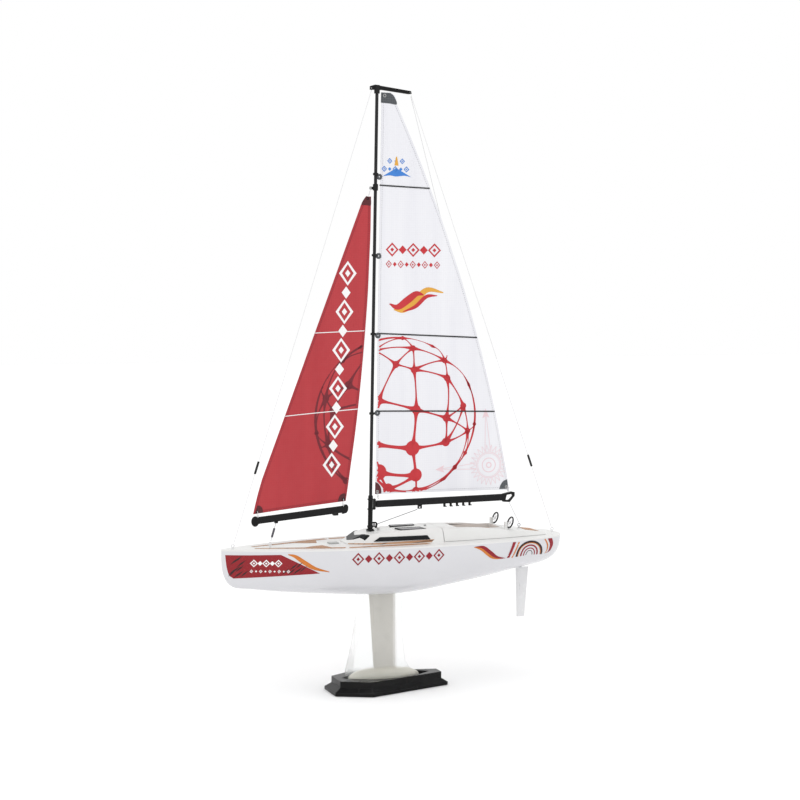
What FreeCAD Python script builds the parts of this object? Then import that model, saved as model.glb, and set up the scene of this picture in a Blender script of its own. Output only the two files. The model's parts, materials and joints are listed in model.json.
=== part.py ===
# Radio-controlled sailing yacht on its display stand.
# Millimetres. +X is the bow, +Y is port, +Z is up, the origin is on the ground under the middle of the boat.
import FreeCAD, Part
import math
import os
import re
import Sketcher

vec = FreeCAD.Vector
doc = FreeCAD.newDocument("SailingYacht")
sheet = doc.addObject("Spreadsheet::Sheet", "Sizes")

# ---------------------------------------------------------------- driving dimensions
driving = [
    # stand
    ("plinthHeight", 15.6, "top face above the ground"),
    ("plinthGap", 0.6, "plinth underside above the ground"),
    ("plinthBow", 76.5, "forward end of the plinth"),
    ("plinthBowHalf", 18.5, "half width of the forward end"),
    ("plinthWide", 38.5, "station of the widest point"),
    ("plinthWideHalf", 37.0, "half width at the widest point"),
    ("plinthStern", 61.0, "aft end of the plinth, behind the origin"),
    ("plinthSternHalf", 10.0, "half width of the aft end"),
    ("plinthBand", 3.4, "height of the vertical band at the foot"),
    ("plinthSlope", 4.4, "height of the sloping moulding"),
    ("plinthInset", 7.0, "how far the upper tier stands in"),
    ("recessMiddle", 10.5, "station of the recess centre"),
    ("recessHalf", 52.5, "half length of the lens-shaped recess"),
    ("recessWidth", 19.0, "half width of the recess"),
    ("recessFloor", 2.4, "recess floor above the ground"),
    ("footRadius", 4.5, "rubber foot"),
    ("footThick", 1.6, "rubber foot"),
    ("panelThick", 1.8, "clear side panel"),
    ("panelBow", 40.7, "forward edge of a panel under the hull"),
    ("panelStern", 0.6, "aft edge of a panel under the hull, behind the origin"),
    ("panelFootBow", 59.4, "forward end of a panel's foot"),
    ("panelFootStern", 26.0, "aft end of a panel's foot, behind the origin"),
    # hull
    ("hullLength", 400.0, "bow to stern"),
    ("hullBeam", 106.0, "greatest breadth at the deck"),
    ("hullDepth", 58.8, "deck edge down to the lowest point of the canoe body"),
    ("deckHeight", 167.0, "deck edge above the ground"),
    ("hullWall", 1.8, "hull moulding"),
    ("bilgePower", 2.35, "fullness of the sections, 2 is an ellipse"),
    ("deckThick", 1.6, "deck moulding"),
    ("roofWall", 1.5, "wall of the coachroof and the cockpit cover"),
    ("glazing", 0.45, "how far windows stand proud of the coachroof"),
    ("inlayThick", 0.35, "teak inlays"),
    # coachroof: station, half width at the foot, half width at the top, height of the top
    ("roofBow", 61.0, "forward end of the coachroof"),
    ("roofBrow", 44.0, "top of the sloping front"),
    ("roofMiddle", 10.0, "fullest station forward"),
    ("roofStern", 47.0, "aft end of the coachroof, behind the origin"),
    ("roofBrowFoot", 21.5, "half width"),
    ("roofBrowTop", 16.0, "half width"),
    ("roofMiddleFoot", 29.0, "half width"),
    ("roofMiddleTop", 22.0, "half width"),
    ("roofSternFoot", 31.0, "half width"),
    ("roofSternTop", 24.0, "half width"),
    ("roofBowRise", 1.2, "top above the deck at the bow end"),
    ("roofBrowRise", 10.2, "top above the deck"),
    ("roofMiddleRise", 13.4, "top above the deck"),
    ("roofSternRise", 14.6, "top above the deck"),
    # cockpit cover
    ("coverGap", 0.3, "running gap round the lift-off cover"),
    ("coverMiddle", 131.0, "station of the wheels, behind the origin"),
    ("coverStern", 178.0, "aft end of the cover, behind the origin"),
    ("coverMiddleFoot", 27.0, "half width"),
    ("coverMiddleTop", 22.5, "half width"),
    ("coverSternFoot", 19.0, "half width"),
    ("coverSternTop", 15.0, "half width"),
    ("coverMiddleRise", 9.0, "top above the deck"),
    ("coverSternRise", 2.6, "top above the deck"),
    ("wellBow", 67.0, "forward end of the cockpit well, behind the origin"),
    ("wellStern", 122.0, "aft end of the cockpit well, behind the origin"),
    ("wellHalf", 17.0, "half width of the cockpit well"),
    ("wellFloor", 172.6, "floor of the cockpit well above the ground"),
    ("soleThick", 1.0, "teak sole of the cockpit"),
    ("wheelRadius", 7.0, "helm wheel, to the middle of its rim"),
    ("wheelWire", 0.55, "helm wheel rim, radius of its wire"),
    ("wheelSpread", 20.6, "helm wheel off the centre line"),
    ("wheelHeight", 183.4, "helm wheel hub above the ground"),
    ("wheelRake", 27.0, "lean of the wheels, degrees"),
    # keel and rudder
    ("finBow", 31.3, "leading edge at the hull"),
    ("finStern", 0.0, "trailing edge at the hull"),
    ("finTipBow", 24.6, "leading edge at the bulb"),
    ("finTipStern", 0.8, "trailing edge at the bulb"),
    ("finThick", 5.2, "greatest thickness of the fin"),
    ("bulbHeight", 14.0, "bulb axis above the ground"),
    ("bulbRadius", 11.0, "bulb"),
    ("bulbMiddle", 19.0, "station of the fullest section"),
    ("bulbNose", 36.0, "fullest section to the nose"),
    ("bulbTail", 48.0, "fullest section to the tail"),
    ("tangLength", 16.0, "keel tang, fore and aft"),
    ("tangThick", 3.2, "keel tang, across"),
    ("tangTop", 140.0, "top of the tang above the ground"),
    ("tangStation", 12.0, "middle of the tang"),
    ("trunkWall", 1.5, "keel trunk"),
    ("keelBolt", 1.5, "cross bolt radius"),
    ("slipFit", 0.15, "clearance round the keel tang"),
    ("rudderStation", 154.0, "rudder stock, behind the origin"),
    ("rudderLead", 5.0, "blade ahead of the stock, at the top"),
    ("rudderTrail", 10.8, "blade behind the stock, at the top"),
    ("rudderTipLead", 3.2, "blade ahead of the stock, at the tip"),
    ("rudderTipTrail", 6.4, "blade behind the stock, at the tip"),
    ("rudderThick", 2.8, "blade"),
    ("rudderTip", 70.6, "tip above the ground"),
    ("rudderTop", 128.0, "top of the blade above the ground"),
    ("stockRadius", 1.2, "rudder stock"),
    ("shaftFit", 0.06, "radial clearance of a turning shaft"),
    ("tubeWall", 1.0, "rudder tube"),
    ("tubeTop", 152.0, "top of the rudder tube"),
    # steering and sheeting gear
    ("servoLength", 23.0, "micro servo"),
    ("servoWidth", 12.0, "micro servo"),
    ("servoTall", 21.0, "micro servo"),
    ("servoFloor", 130.0, "underside of the servos above the ground"),
    ("steerStation", 112.0, "shaft of the steering servo, behind the origin"),
    ("winchStation", 78.0, "shaft of the sail winch servo, behind the origin"),
    ("armLength", 10.0, "steering arms, pivot to pin"),
    ("winchArmLength", 24.0, "sheeting arm, shaft to tip"),
    ("armThick", 1.6, "plastic arms"),
    ("armHeight", 155.0, "underside of the steering arms"),
    ("pinRadius", 0.7, "small pins"),
    ("rodRadius", 0.6, "steering push rod"),
    # rig
    ("mastStation", 29.7, "foot of the mast"),
    ("mastFootHeight", 178.7, "top of the coachroof at the mast"),
    ("mastRake", 0.73, "lean aft, degrees"),
    ("mastRadius", 1.8, "mast tube"),
    ("mastBore", 1.25, "mast tube"),
    ("mastTop", 488.4, "mast length above the coachroof"),
    ("mastHeel", 44.0, "mast length below the coachroof"),
    ("sleeveRadius", 2.65, "reinforcing sleeve"),
    ("sleeveTop", 39.0, "reinforcing sleeve"),
    ("stepRadius", 3.4, "mast step tube"),
    ("pivotOffset", 4.6, "boom pivot behind the mast axis"),
    ("boomStart", 6.8, "fore end of the main boom behind the mast axis"),
    ("boomEnd", 161.0, "aft end of the main boom beam"),
    ("boomTip", 175.4, "aft end of the boom end fitting"),
    ("boomHeight", 29.9, "boom centre line at the mast"),
    ("boomSlope", 1.25, "rise of the boom, degrees"),
    ("boomTall", 7.6, "main boom"),
    ("boomWide", 4.2, "main boom"),
    ("sailThick", 0.8, "solid that stands for the cloth"),
    ("luffLine", 5.4, "mainsail luff behind the mast axis"),
    ("tackHeight", 40.8, "mainsail tack"),
    ("clewReach", 169.0, "mainsail clew behind the mast axis"),
    ("clewHeight", 41.7, "mainsail clew"),
    ("headHeight", 483.0, "mainsail head"),
    ("headReach", 16.0, "mainsail head, aft corner of the top edge"),
    ("headShoulder", 23.6, "mainsail head, start of the leech"),
    ("shoulderDrop", 12.2, "mainsail head down to the start of the leech"),
    ("leechRadius", 1640.0, "roach of the mainsail leech"),
    ("battenTall", 1.3, "batten"),
    ("craneFore", 6.4, "forestay eye ahead of the mast axis"),
    ("craneAft", 38.9, "backstay eye behind the mast axis"),
    ("craneWide", 3.0, "masthead crane"),
    ("hoistHeight", 377.0, "jib hoist fitting on the mast"),
    ("hoistReach", 6.3, "jib hoist eye ahead of the mast axis"),
    ("lineRadius", 0.4, "rigging line"),
    ("stayRadius", 0.35, "stay"),
    ("eyeRadius", 1.6, "wire eye, to the middle of its wire"),
    ("eyeWire", 0.45, "wire eye, radius of the wire"),
    ("bowEye", 187.4, "forestay eye"),
    ("sternEye", 195.0, "backstay eye, behind the origin"),
    ("jibEye", 145.6, "jib swivel eye"),
    ("eyeLift", 3.4, "wire eye above the deck"),
    ("jibPivotLean", 16.6, "lean of the jib boom's turning axis, degrees"),
    ("jibBoomFore", 164.3, "fore end of the jib boom"),
    ("jibBoomAft", 59.5, "aft end of the jib boom"),
    ("jibBoomHeight", 196.1, "jib boom centre line at its fore end"),
    ("jibBoomRise", 8.7, "rise of the jib boom over its length"),
    ("jibBoomTall", 7.6, "jib boom"),
    ("jibBoomWide", 3.6, "jib boom"),
    ("jibTackStation", 164.6, "jib tack"),
    ("jibTackHeight", 203.5, "jib tack"),
    ("jibClewStation", 58.6, "jib clew"),
    ("jibClewHeight", 213.5, "jib clew"),
    ("jibHeadHeight", 548.0, "jib head"),
    ("jibShoulderStation", 41.2, "jib luff, just below the head"),
    ("jibShoulderDrop", 8.0, "jib head down to that shoulder"),
    ("jibKneeStation", 155.0, "jib luff, where its round begins above the tack"),
    ("jibKneeHeight", 241.0, "jib luff, where its round begins above the tack"),
    ("jibLeechRadius", 2170.0, "roach of the jib leech"),
    ("jibHeadFore", 35.8, "jib head"),
    ("jibHeadAft", 29.9, "jib head"),
]

aliases = [row[0] for row in driving]
for number, (alias, amount, note) in enumerate(driving, start=1):
    sheet.set("A%d" % number, note)
    sheet.set("B%d" % number, str(amount))
    sheet.setAlias("B%d" % number, alias)
doc.recompute()


def link(text):
    """Turn plain size names into references to the sheet's cells."""
    def cell(match):
        return "Sizes." + match[0] if match[0] in aliases else match[0]
    return re.sub(r"[A-Za-z][A-Za-z0-9]*", cell, str(text))


def size(text):
    """The number that an expression gives."""
    return float(sheet.evalExpression(link(text)))


def bind(thing, **rules):
    for name, rule in rules.items():
        thing.setExpression(name, link(rule))


def moveTo(thing, spot, turn=None):
    """Place a feature by three expressions, after an optional fixed turn (axis, degrees)."""
    if turn is not None:
        thing.Placement = FreeCAD.Placement(vec(0, 0, 0), FreeCAD.Rotation(vec(*turn[0]), turn[1]))
    for axis, rule in zip("xyz", spot):
        thing.setExpression("Placement.Base." + axis, link(rule))


def intoRig(thing):
    """Carry a piece drawn about the mast's own axis to the raked mast."""
    thing.Placement = FreeCAD.Placement(vec(0, 0, 0), FreeCAD.Rotation(vec(0, -1, 0), size("mastRake")))
    moveTo(thing, ("mastStation", "0", "mastFootHeight"))
    thing.setExpression("Placement.Rotation.Angle", link("mastRake * 1 deg"))
    return thing


toX = ((0, 1, 0), 90)
toY = ((1, 0, 0), -90)


def rod(name, radius, length, spot, turn=None):
    thing = doc.addObject("Part::Cylinder", name)
    bind(thing, Radius=radius, Height=length)
    moveTo(thing, spot, turn)
    return thing


def block(name, length, width, height, middle, bottom):
    """A box centred on a plan position, standing on a level."""
    thing = doc.addObject("Part::Box", name)
    bind(thing, Length=length, Width=width, Height=height)
    moveTo(thing, ("(%s) - (%s) / 2" % (middle[0], length), "(%s) - (%s) / 2" % (middle[1], width), bottom))
    return thing


def ring(name, major, minor, spot, turn=None):
    thing = doc.addObject("Part::Torus", name)
    bind(thing, Radius1=major, Radius2=minor)
    moveTo(thing, spot, turn)
    return thing


def fused(name, *pieces):
    thing = doc.addObject("Part::MultiFuse", name)
    thing.Shapes = list(pieces)
    return thing


def cutFrom(name, base, *tools):
    result = base
    for number, tool in enumerate(tools):
        last = number == len(tools) - 1
        step = doc.addObject("Part::Cut", name if last else name + "Step%d" % number)
        step.Base = result
        step.Tool = tool
        result = step
    return result


def shared(name, first, second):
    thing = doc.addObject("Part::Common", name)
    thing.Base = first
    thing.Tool = second
    return thing


def grouped(name, *pieces):
    thing = doc.addObject("Part::Compound", name)
    thing.Links = list(pieces)
    return thing


def originPlane(body, role):
    for feature in body.Origin.OriginFeatures:
        if feature.Role == role:
            return feature


def newSketch(body, name, plane, offset="0"):
    sketch = body.newObject("Sketcher::SketchObject", name)
    sketch.AttachmentSupport = [(originPlane(body, plane), "")]
    sketch.MapMode = "FlatFace"
    sketch.setExpression("AttachmentOffset.Base.z", link(offset))
    return sketch


def bulge(start, end, radius):
    """The arc that bows to the right of the way from start to end."""
    chord = end - start
    reach = math.sqrt(radius ** 2 - (chord.Length / 2) ** 2)
    left = vec(-chord.y, chord.x, 0).normalize()
    centre = (start + end) * 0.5 + left * reach
    first = math.atan2(start.y - centre.y, start.x - centre.x)
    last = math.atan2(end.y - centre.y, end.x - centre.x)
    return Part.ArcOfCircle(Part.Circle(centre, vec(0, 0, 1), radius), first, last)


def outline(sketch, corners):
    """A closed outline, anticlockwise. A corner is (across, up), with a radius where an arc starts."""
    places = [vec(size(corner[0]), size(corner[1]), 0) for corner in corners]
    count = len(corners)
    for index, corner in enumerate(corners):
        start = places[index]
        end = places[(index + 1) % count]
        if len(corner) > 2:
            sketch.addGeometry(bulge(start, end, size(corner[2])), False)
        else:
            sketch.addGeometry(Part.LineSegment(start, end), False)
    for index in range(count):
        sketch.addConstraint(Sketcher.Constraint("Coincident", index, 2, (index + 1) % count, 1))
    for index, corner in enumerate(corners):
        across = sketch.addConstraint(Sketcher.Constraint("DistanceX", -1, 1, index, 1, places[index].x))
        sketch.setExpression("Constraints[%d]" % across, link(corner[0]))
        upward = sketch.addConstraint(Sketcher.Constraint("DistanceY", -1, 1, index, 1, places[index].y))
        sketch.setExpression("Constraints[%d]" % upward, link(corner[1]))
        if len(corner) > 2:
            bow = sketch.addConstraint(Sketcher.Constraint("Radius", index, size(corner[2])))
            sketch.setExpression("Constraints[%d]" % bow, link(corner[2]))


def padded(name, plane, corners, thick, offset="0", middle=True):
    """A body padded from one outline, to both sides of its plane unless told otherwise."""
    body = doc.addObject("PartDesign::Body", name)
    sketch = newSketch(body, name + "Outline", plane, offset)
    outline(sketch, corners)
    pad = body.newObject("PartDesign::Pad", name + "Pad")
    pad.Profile = sketch
    if middle:
        pad.SideType = "Symmetric"
    bind(pad, Length=thick)
    body.Tip = pad
    return body


def lofted(name, plane, sections, ruled=False):
    """A body lofted through outlines, each given with its offset from the plane."""
    body = doc.addObject("PartDesign::Body", name)
    sketches = []
    for number, (offset, corners) in enumerate(sections):
        sketch = newSketch(body, "%sSection%d" % (name, number), plane, offset)
        outline(sketch, corners)
        sketches.append(sketch)
    loft = body.newObject("PartDesign::AdditiveLoft", name + "Loft")
    loft.Profile = sketches[0]
    loft.Sections = sketches[1:]
    loft.Ruled = ruled
    body.Tip = loft
    return body


def revolved(name, corners, spot=None):
    """A body turned about the vertical through its own origin, from an outline of radii and heights."""
    body = doc.addObject("PartDesign::Body", name)
    sketch = newSketch(body, name + "Outline", "XZ_Plane")
    outline(sketch, corners)
    turned = body.newObject("PartDesign::Revolution", name + "Turn")
    turned.Profile = sketch
    turned.ReferenceAxis = (sketch, ["V_Axis"])
    turned.Angle = 360
    body.Tip = turned
    if spot is not None:
        moveTo(body, spot)
    return body


def fixedShape(name, shape):
    thing = doc.addObject("Part::Feature", name)
    thing.Shape = shape
    return thing


def strut(name, start, end, radius, bore=None):
    """A straight line or tube between two points that the sheet gives."""
    first = vec(*[size(rule) for rule in start])
    last = vec(*[size(rule) for rule in end])
    shape = Part.makeCylinder(size(radius), (last - first).Length, first, last - first)
    if bore is not None:
        shape = shape.cut(Part.makeCylinder(size(bore), (last - first).Length, first, last - first))
    return fixedShape(name, shape)


nodes = []


def keep(label, thing):
    """Make a finished sub-part, under the name that its file gets."""
    thing.Label = label
    nodes.append(thing)
    return thing


# The table of offsets of the canoe body: station and half breadth at the deck as shares of the
# half length and half beam, and the keel line as a share of the depth below the deck edge.
offsets = [
    (1.000, 0.045, 0.26),
    (0.982, 0.085, 0.54),
    (0.950, 0.155, 0.680),
    (0.875, 0.295, 0.750),
    (0.750, 0.475, 0.806),
    (0.555, 0.700, 0.880),
    (0.325, 0.880, 0.948),
    (0.100, 0.975, 0.996),
    (-0.125, 1.000, 0.962),
    (-0.275, 0.985, 0.892),
    (-0.550, 0.900, 0.748),
    (-0.740, 0.770, 0.636),
    (-0.875, 0.640, 0.562),
    (-0.940, 0.535, 0.480),
    (-0.978, 0.380, 0.350),
    (-1.000, 0.200, 0.200),
]


def sectionWire(station, half, depth, rise):
    """One cross-section: a curve from deck edge to deck edge under the keel, closed above the deck."""
    power = 2 / size("bilgePower")
    level = size("deckHeight")
    count = 12
    points = []
    for number in range(count + 1):
        angle = math.pi * number / count
        across = math.copysign(abs(math.cos(angle)) ** power, math.cos(angle)) * half
        drop = abs(math.sin(angle)) ** power * depth
        points.append(vec(station, across, level - drop))
    curve = Part.BSplineCurve()
    curve.interpolate(points)
    first = points[0] + vec(0, 0, rise)
    last = points[-1] + vec(0, 0, rise)
    edges = [curve.toShape(), Part.makeLine(points[-1], last), Part.makeLine(last, first)]
    edges.append(Part.makeLine(first, points[0]))
    return Part.Wire(edges)


def canoeBody(shrink, rise, drop=0.0):
    """The solid inside the hull's moulded surface, made smaller all round by shrink."""
    wires = []
    for station, half, depth in offsets:
        along = station * size("hullLength") / 2
        breadth = half * size("hullBeam") / 2 - shrink
        deep = depth * size("hullDepth") - shrink
        if shrink > 0 and (breadth < 3 * shrink or abs(station) > 0.96):
            continue
        wires.append(sectionWire(along, breadth, deep, rise))
    solid = Part.makeLoft(wires, True, False)
    solid.translate(vec(0, 0, -drop))
    return solid


def makeStand():
    plan = [("plinthBow", "-plinthBowHalf"), ("plinthBow", "plinthBowHalf"),
            ("plinthWide", "plinthWideHalf"), ("-plinthStern", "plinthSternHalf"),
            ("-plinthStern", "-plinthSternHalf"), ("plinthWide", "-plinthWideHalf")]
    tier = [("plinthBow - plinthInset", "-plinthBowHalf + plinthInset / 2"),
            ("plinthBow - plinthInset", "plinthBowHalf - plinthInset / 2"),
            ("plinthWide", "plinthWideHalf - plinthInset * 0.8"),
            ("plinthInset - plinthStern", "plinthSternHalf - plinthInset / 3"),
            ("plinthInset - plinthStern", "plinthInset / 3 - plinthSternHalf"),
            ("plinthWide", "plinthInset * 0.8 - plinthWideHalf")]
    body = lofted("PlinthBody", "XY_Plane", [
        ("plinthGap", plan), ("plinthGap + plinthBand", plan),
        ("plinthGap + plinthBand + plinthSlope", tier), ("plinthHeight", tier)], True)
    curve = "(recessHalf ^ 2 + recessWidth ^ 2) / (2 * recessWidth)"
    sketch = newSketch(body, "RecessOutline", "XY_Plane", "plinthHeight")
    outline(sketch, [("recessMiddle - recessHalf", "0", curve), ("recessMiddle + recessHalf", "0", curve)])
    recess = body.newObject("PartDesign::Pocket", "Recess")
    recess.Profile = sketch
    bind(recess, Length="plinthHeight - recessFloor")
    body.Tip = recess
    spots = [("plinthBow - 12", "12"), ("plinthBow - 12", "-12"), ("12 - plinthStern", "0"),
             ("plinthWide", "plinthWideHalf - 10"), ("plinthWide", "10 - plinthWideHalf")]
    sockets = [rod("FootSocket%d" % n, "footRadius", "footThick - plinthGap", (x, y, "plinthGap"))
               for n, (x, y) in enumerate(spots)]
    keep("stand_plinth", cutFrom("Plinth", body, *sockets))
    pads = [rod("RubberFoot%d" % n, "footRadius - 0.1", "footThick", (x, y, "0"))
            for n, (x, y) in enumerate(spots)]
    keep("stand_rubber_feet", grouped("RubberFeet", *pads))
    makePanels(curve)


def makePanels(curve):
    """Two clear sheets, bent to the recess, that carry the hull and keep the fin upright."""
    floor = "recessFloor + coverGap"
    profile = [("-panelFootStern", floor), ("panelFootBow", floor), ("panelFootBow", "plinthHeight"),
               ("panelFootBow - 3.4", "27"), ("panelFootBow - 11", "52"), ("panelBow + 1.6", "84"),
               ("panelBow", "120"), ("-panelStern", "120"), ("-panelStern - 2", "62"),
               ("-panelStern - 5.6", "34"), ("-panelStern - 12", "25"),
               ("-panelFootStern", "plinthHeight + 1.2")]
    berth = fixedShape("HullBerth", canoeBody(0, 4, size("coverGap")))
    tall = "deckHeight - " + floor
    walls = []
    for name, inset in (("Outer", "0.2"), ("Inner", "(0.2 + panelThick)")):
        wide = "(recessWidth - %s)" % inset
        long = "(recessHalf - %s)" % inset
        bend = "(%s ^ 2 + %s ^ 2) / (2 * %s)" % (long, wide, wide)
        corners = [("recessMiddle - " + long, "0", bend), ("recessMiddle + " + long, "0", bend)]
        walls.append(padded("Lens" + name, "XY_Plane", corners, tall, floor, False))
    shell = cutFrom("LensWall", walls[0], walls[1])
    side = padded("PanelSide", "XZ_Plane", profile, "recessWidth * 2 + 4")
    standing = cutFrom("PanelStanding", shared("PanelBlank", shell, side), berth)
    for label, middle in (("stand_panel_port", "recessWidth"), ("stand_panel_starboard", "-recessWidth")):
        half = block(label + "Half", "recessHalf * 3", "recessWidth * 2 - 1", "deckHeight",
                     ("recessMiddle", middle), "0")
        keep(label, shared(label + "Sheet", standing, half))


def roofSections(grow, base):
    """Outlines of the coachroof, or of a skin that stands proud of it by grow."""
    stations = [("roofBow", "(roofBrowTop - 4)", "(roofBrowTop - 6)", "roofBowRise"),
                ("roofBrow", "roofBrowFoot", "roofBrowTop", "roofBrowRise"),
                ("mastStation", "(roofBrowFoot + roofMiddleFoot) / 2 + 1.2",
                 "(roofBrowTop + roofMiddleTop) / 2 + 1", "mastFootHeight - deckHeight - 0.1"),
                ("roofMiddle", "roofMiddleFoot", "roofMiddleTop", "roofMiddleRise"),
                ("-roofStern * 0.42", "(roofMiddleFoot + roofSternFoot) / 2 + 0.2",
                 "(roofMiddleTop + roofSternTop) / 2 + 0.2", "(roofMiddleRise + roofSternRise) / 2"),
                ("-roofStern", "roofSternFoot", "roofSternTop", "roofSternRise")]
    return [trunkSection(station, foot, top, rise, grow, base) for station, foot, top, rise in stations]


def trunkSection(station, foot, top, rise, grow, base):
    """A cambered trunk outline: foot, shoulder and top on each side."""
    low = "%s" % base
    high = "deckHeight + %s + %s" % (rise, grow)
    edge = "%s + %s" % (foot, grow)
    shoulder = "%s + 1.2 + %s" % (top, grow)
    flat = "%s - 2.4 + %s" % (top, grow)
    lift = "deckHeight + %s * 0.86 + %s" % (rise, grow)
    return (station, [("-(%s)" % edge, low), (edge, low), (shoulder, lift), (flat, high),
                      ("-(%s)" % flat, high), ("-(%s)" % shoulder, lift)])


def makeHull():
    outer = fixedShape("MouldedBody", canoeBody(0, 3))
    inner = fixedShape("InnerBody", canoeBody(size("hullWall"), 3))
    slab = block("DeckSlab", "hullLength + 20", "hullBeam + 20", "deckThick + 5", ("0", "0"),
                 "deckHeight - deckThick")
    slot = block("KeelSlot", "tangLength + slipFit * 2", "tangThick + slipFit * 2", "30",
                 ("tangStation", "0"), "deckHeight - hullDepth - 15")
    tube = rod("TubeHole", "stockRadius + shaftFit + tubeWall", "40",
               ("-rudderStation", "0", "rudderTop - 15"))
    keep("hull_shell", cutFrom("HullShell", outer, slab, inner, slot, tube))
    return outer


def makeDeck(outer):
    slab = block("DeckLayer", "hullLength + 20", "hullBeam + 20", "deckThick", ("0", "0"),
                 "deckHeight - deckThick")
    plate = shared("DeckPlate", outer, slab)
    roof = lofted("RoofOutside", "YZ_Plane", roofSections("0", "deckHeight - deckThick"), True)
    inside = lofted("RoofInside", "YZ_Plane", roofSections("-roofWall", "deckHeight - deckThick - 3"), True)
    hatch = block("AccessOpening", "coverMiddle + 22 - wellBow", "wellHalf * 2 + 4", "20",
                  ("-(coverMiddle + 22 + wellBow) / 2", "0"), "deckHeight - 12")
    bore = rod("MastHole", "mastRadius + 0.03", "mastHeel + 20", ("0", "0", "-mastHeel - 0.1"))
    raked = intoRig(grouped("MastHoleRaked", bore))
    socket = rod("SocketRod", "stepRadius", "63.3", ("0", "0", "-64"))
    shell = cutFrom("RoofShell", fused("DeckBlank", plate, roof), inside, hatch)
    blank = fused("DeckWithSocket", shell, intoRig(grouped("SocketRaked", socket)))
    keep("deck_moulding", cutFrom("DeckMoulding", blank, raked))
    makeGlazing()
    makeInlays()


def makeGlazing():
    """Dark glazing that stands a little proud of the coachroof."""
    skins = {}
    for name in ("Screen", "Side", "Light"):
        skin = lofted("Skin" + name, "YZ_Plane", roofSections("glazing", "deckHeight + 0.2"), True)
        core = lofted("Core" + name, "YZ_Plane", roofSections("0", "deckHeight - 1"), True)
        skins[name] = cutFrom("Glazing" + name, skin, core)
    chevron = [("roofBow - 3.5", "0"), ("roofBow - 7", "11"), ("roofBrow - 1", "19.5"),
               ("roofBrow - 6.4", "19.5"), ("roofBrow + 1", "11"), ("roofBrow + 4.6", "0"),
               ("roofBrow + 1", "-11"), ("roofBrow - 6.4", "-19.5"), ("roofBrow - 1", "-19.5"),
               ("roofBow - 7", "-11")]
    band = padded("ScreenPrism", "XY_Plane", chevron, "roofBrowRise + 2", "deckHeight + 3", False)
    screen = shared("Windscreen", skins["Screen"], band)
    side = [("-31", "deckHeight + 3.6"), ("34", "deckHeight + 3.6"), ("27", "deckHeight + 8"),
            ("-28", "deckHeight + 8")]
    prism = padded("SidePrism", "XZ_Plane", side, "hullBeam")
    keep("coachroof_windows", grouped("RoofWindows", screen, shared("SideWindows", skins["Side"], prism)))
    lights = [block("LightPrism%d" % n, "33", "2.6", "30", ("-13", y), "deckHeight + 6")
              for n, y in enumerate(("roofMiddleTop - 3.4", "3.4 - roofMiddleTop"))]
    keep("skylights", shared("Skylights", skins["Light"], fused("LightPrisms", *lights)))


def makeInlays():
    """Teak strips let on to the fore and side decks."""
    fore = [("165", "6.8"), ("118", "22"), ("100", "28.5"), ("72", "36"), ("69", "31.5"), ("84", "27.5"),
            ("89", "9.5"), ("101", "12.5"), ("112", "18.5"), ("163", "5.2")]
    aside = [("66", "roofMiddleFoot + 3.4"), ("66", "roofMiddleFoot + 8"), ("10", "roofMiddleFoot + 10.6"),
             ("-27", "roofMiddleFoot + 10.6"), ("-24", "roofMiddleFoot + 4.4"),
             ("10", "roofMiddleFoot + 3.4")]
    strips = []
    for name, corners in (("Fore", fore), ("Side", aside)):
        for hand, flip in (("Port", False), ("Starboard", True)):
            points = [(x, "-(%s)" % y if flip else y) for x, y in corners]
            clockwise = points if (name == "Side") != flip else points[::-1]
            strips.append(padded(name + hand, "XY_Plane", clockwise, "inlayThick", "deckHeight", False))
    keep("teak_deck_inlays", grouped("DeckInlays", *strips))
    lid = block("VentLid", "11", "9", "1.4", ("73", "0"), "deckHeight")
    keep("foredeck_vent", lid)


def coverSections(grow, base):
    stations = [("-roofStern - coverGap * 2", "roofSternFoot", "roofSternTop", "roofSternRise"),
                ("-(roofStern + coverMiddle) / 2", "(roofSternFoot + coverMiddleFoot) / 2 + 0.6",
                 "(roofSternTop + coverMiddleTop) / 2 + 0.6",
                 "(roofSternRise + coverMiddleRise) / 2 + 1"),
                ("-coverMiddle", "coverMiddleFoot", "coverMiddleTop", "coverMiddleRise"),
                ("-coverStern", "coverSternFoot", "coverSternTop", "coverSternRise")]
    return [trunkSection(station, foot, top, rise, grow, base) for station, foot, top, rise in stations]


def makeCockpit():
    """The lift-off cover over the machinery, with the cockpit well, its sole and the two helms."""
    rest = "deckHeight + coverGap"
    outer = lofted("CoverOutside", "YZ_Plane", coverSections("0", rest), True)
    inner = lofted("CoverInside", "YZ_Plane", coverSections("-roofWall", "deckHeight - 2"), True)
    ends = block("CoverHollow", "coverStern - roofStern - 5", "hullBeam", "40",
                 ("-(coverStern + roofStern) / 2", "0"), "deckHeight - 10")
    hollow = shared("CoverHollowed", inner, ends)
    middle = ("-(wellBow + wellStern) / 2", "0")
    trough = block("WellTrough", "wellStern - wellBow + roofWall * 2", "(wellHalf + roofWall) * 2", "7",
                   middle, "wellFloor - roofWall")
    hole = block("WellHole", "wellStern - wellBow", "wellHalf * 2", "30", middle, "wellFloor")
    blank = fused("CoverBlank", cutFrom("CoverShell", outer, hollow), trough, *makeHelms())
    keep("cockpit_cover", cutFrom("CockpitCover", blank, hole))
    sole = block("SoleBoard", "wellStern - wellBow - 1", "wellHalf * 2 - 1", "soleThick",
                 middle, "wellFloor")
    keep("cockpit_sole", sole)
    patch = [("-156", "-10"), ("-156", "10"), ("-172", "12.5"), ("-172", "-12.5")]
    slope = lofted("AftSkin", "YZ_Plane", coverSections("inlayThick", rest), True)
    core = lofted("AftCore", "YZ_Plane", coverSections("0", "deckHeight - 1"), True)
    prism = padded("AftPrism", "XY_Plane", patch, "20", "deckHeight + 0.6", False)
    keep("aft_deck_teak", shared("AftTeak", cutFrom("AftSkinOnly", slope, core), prism))


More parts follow.
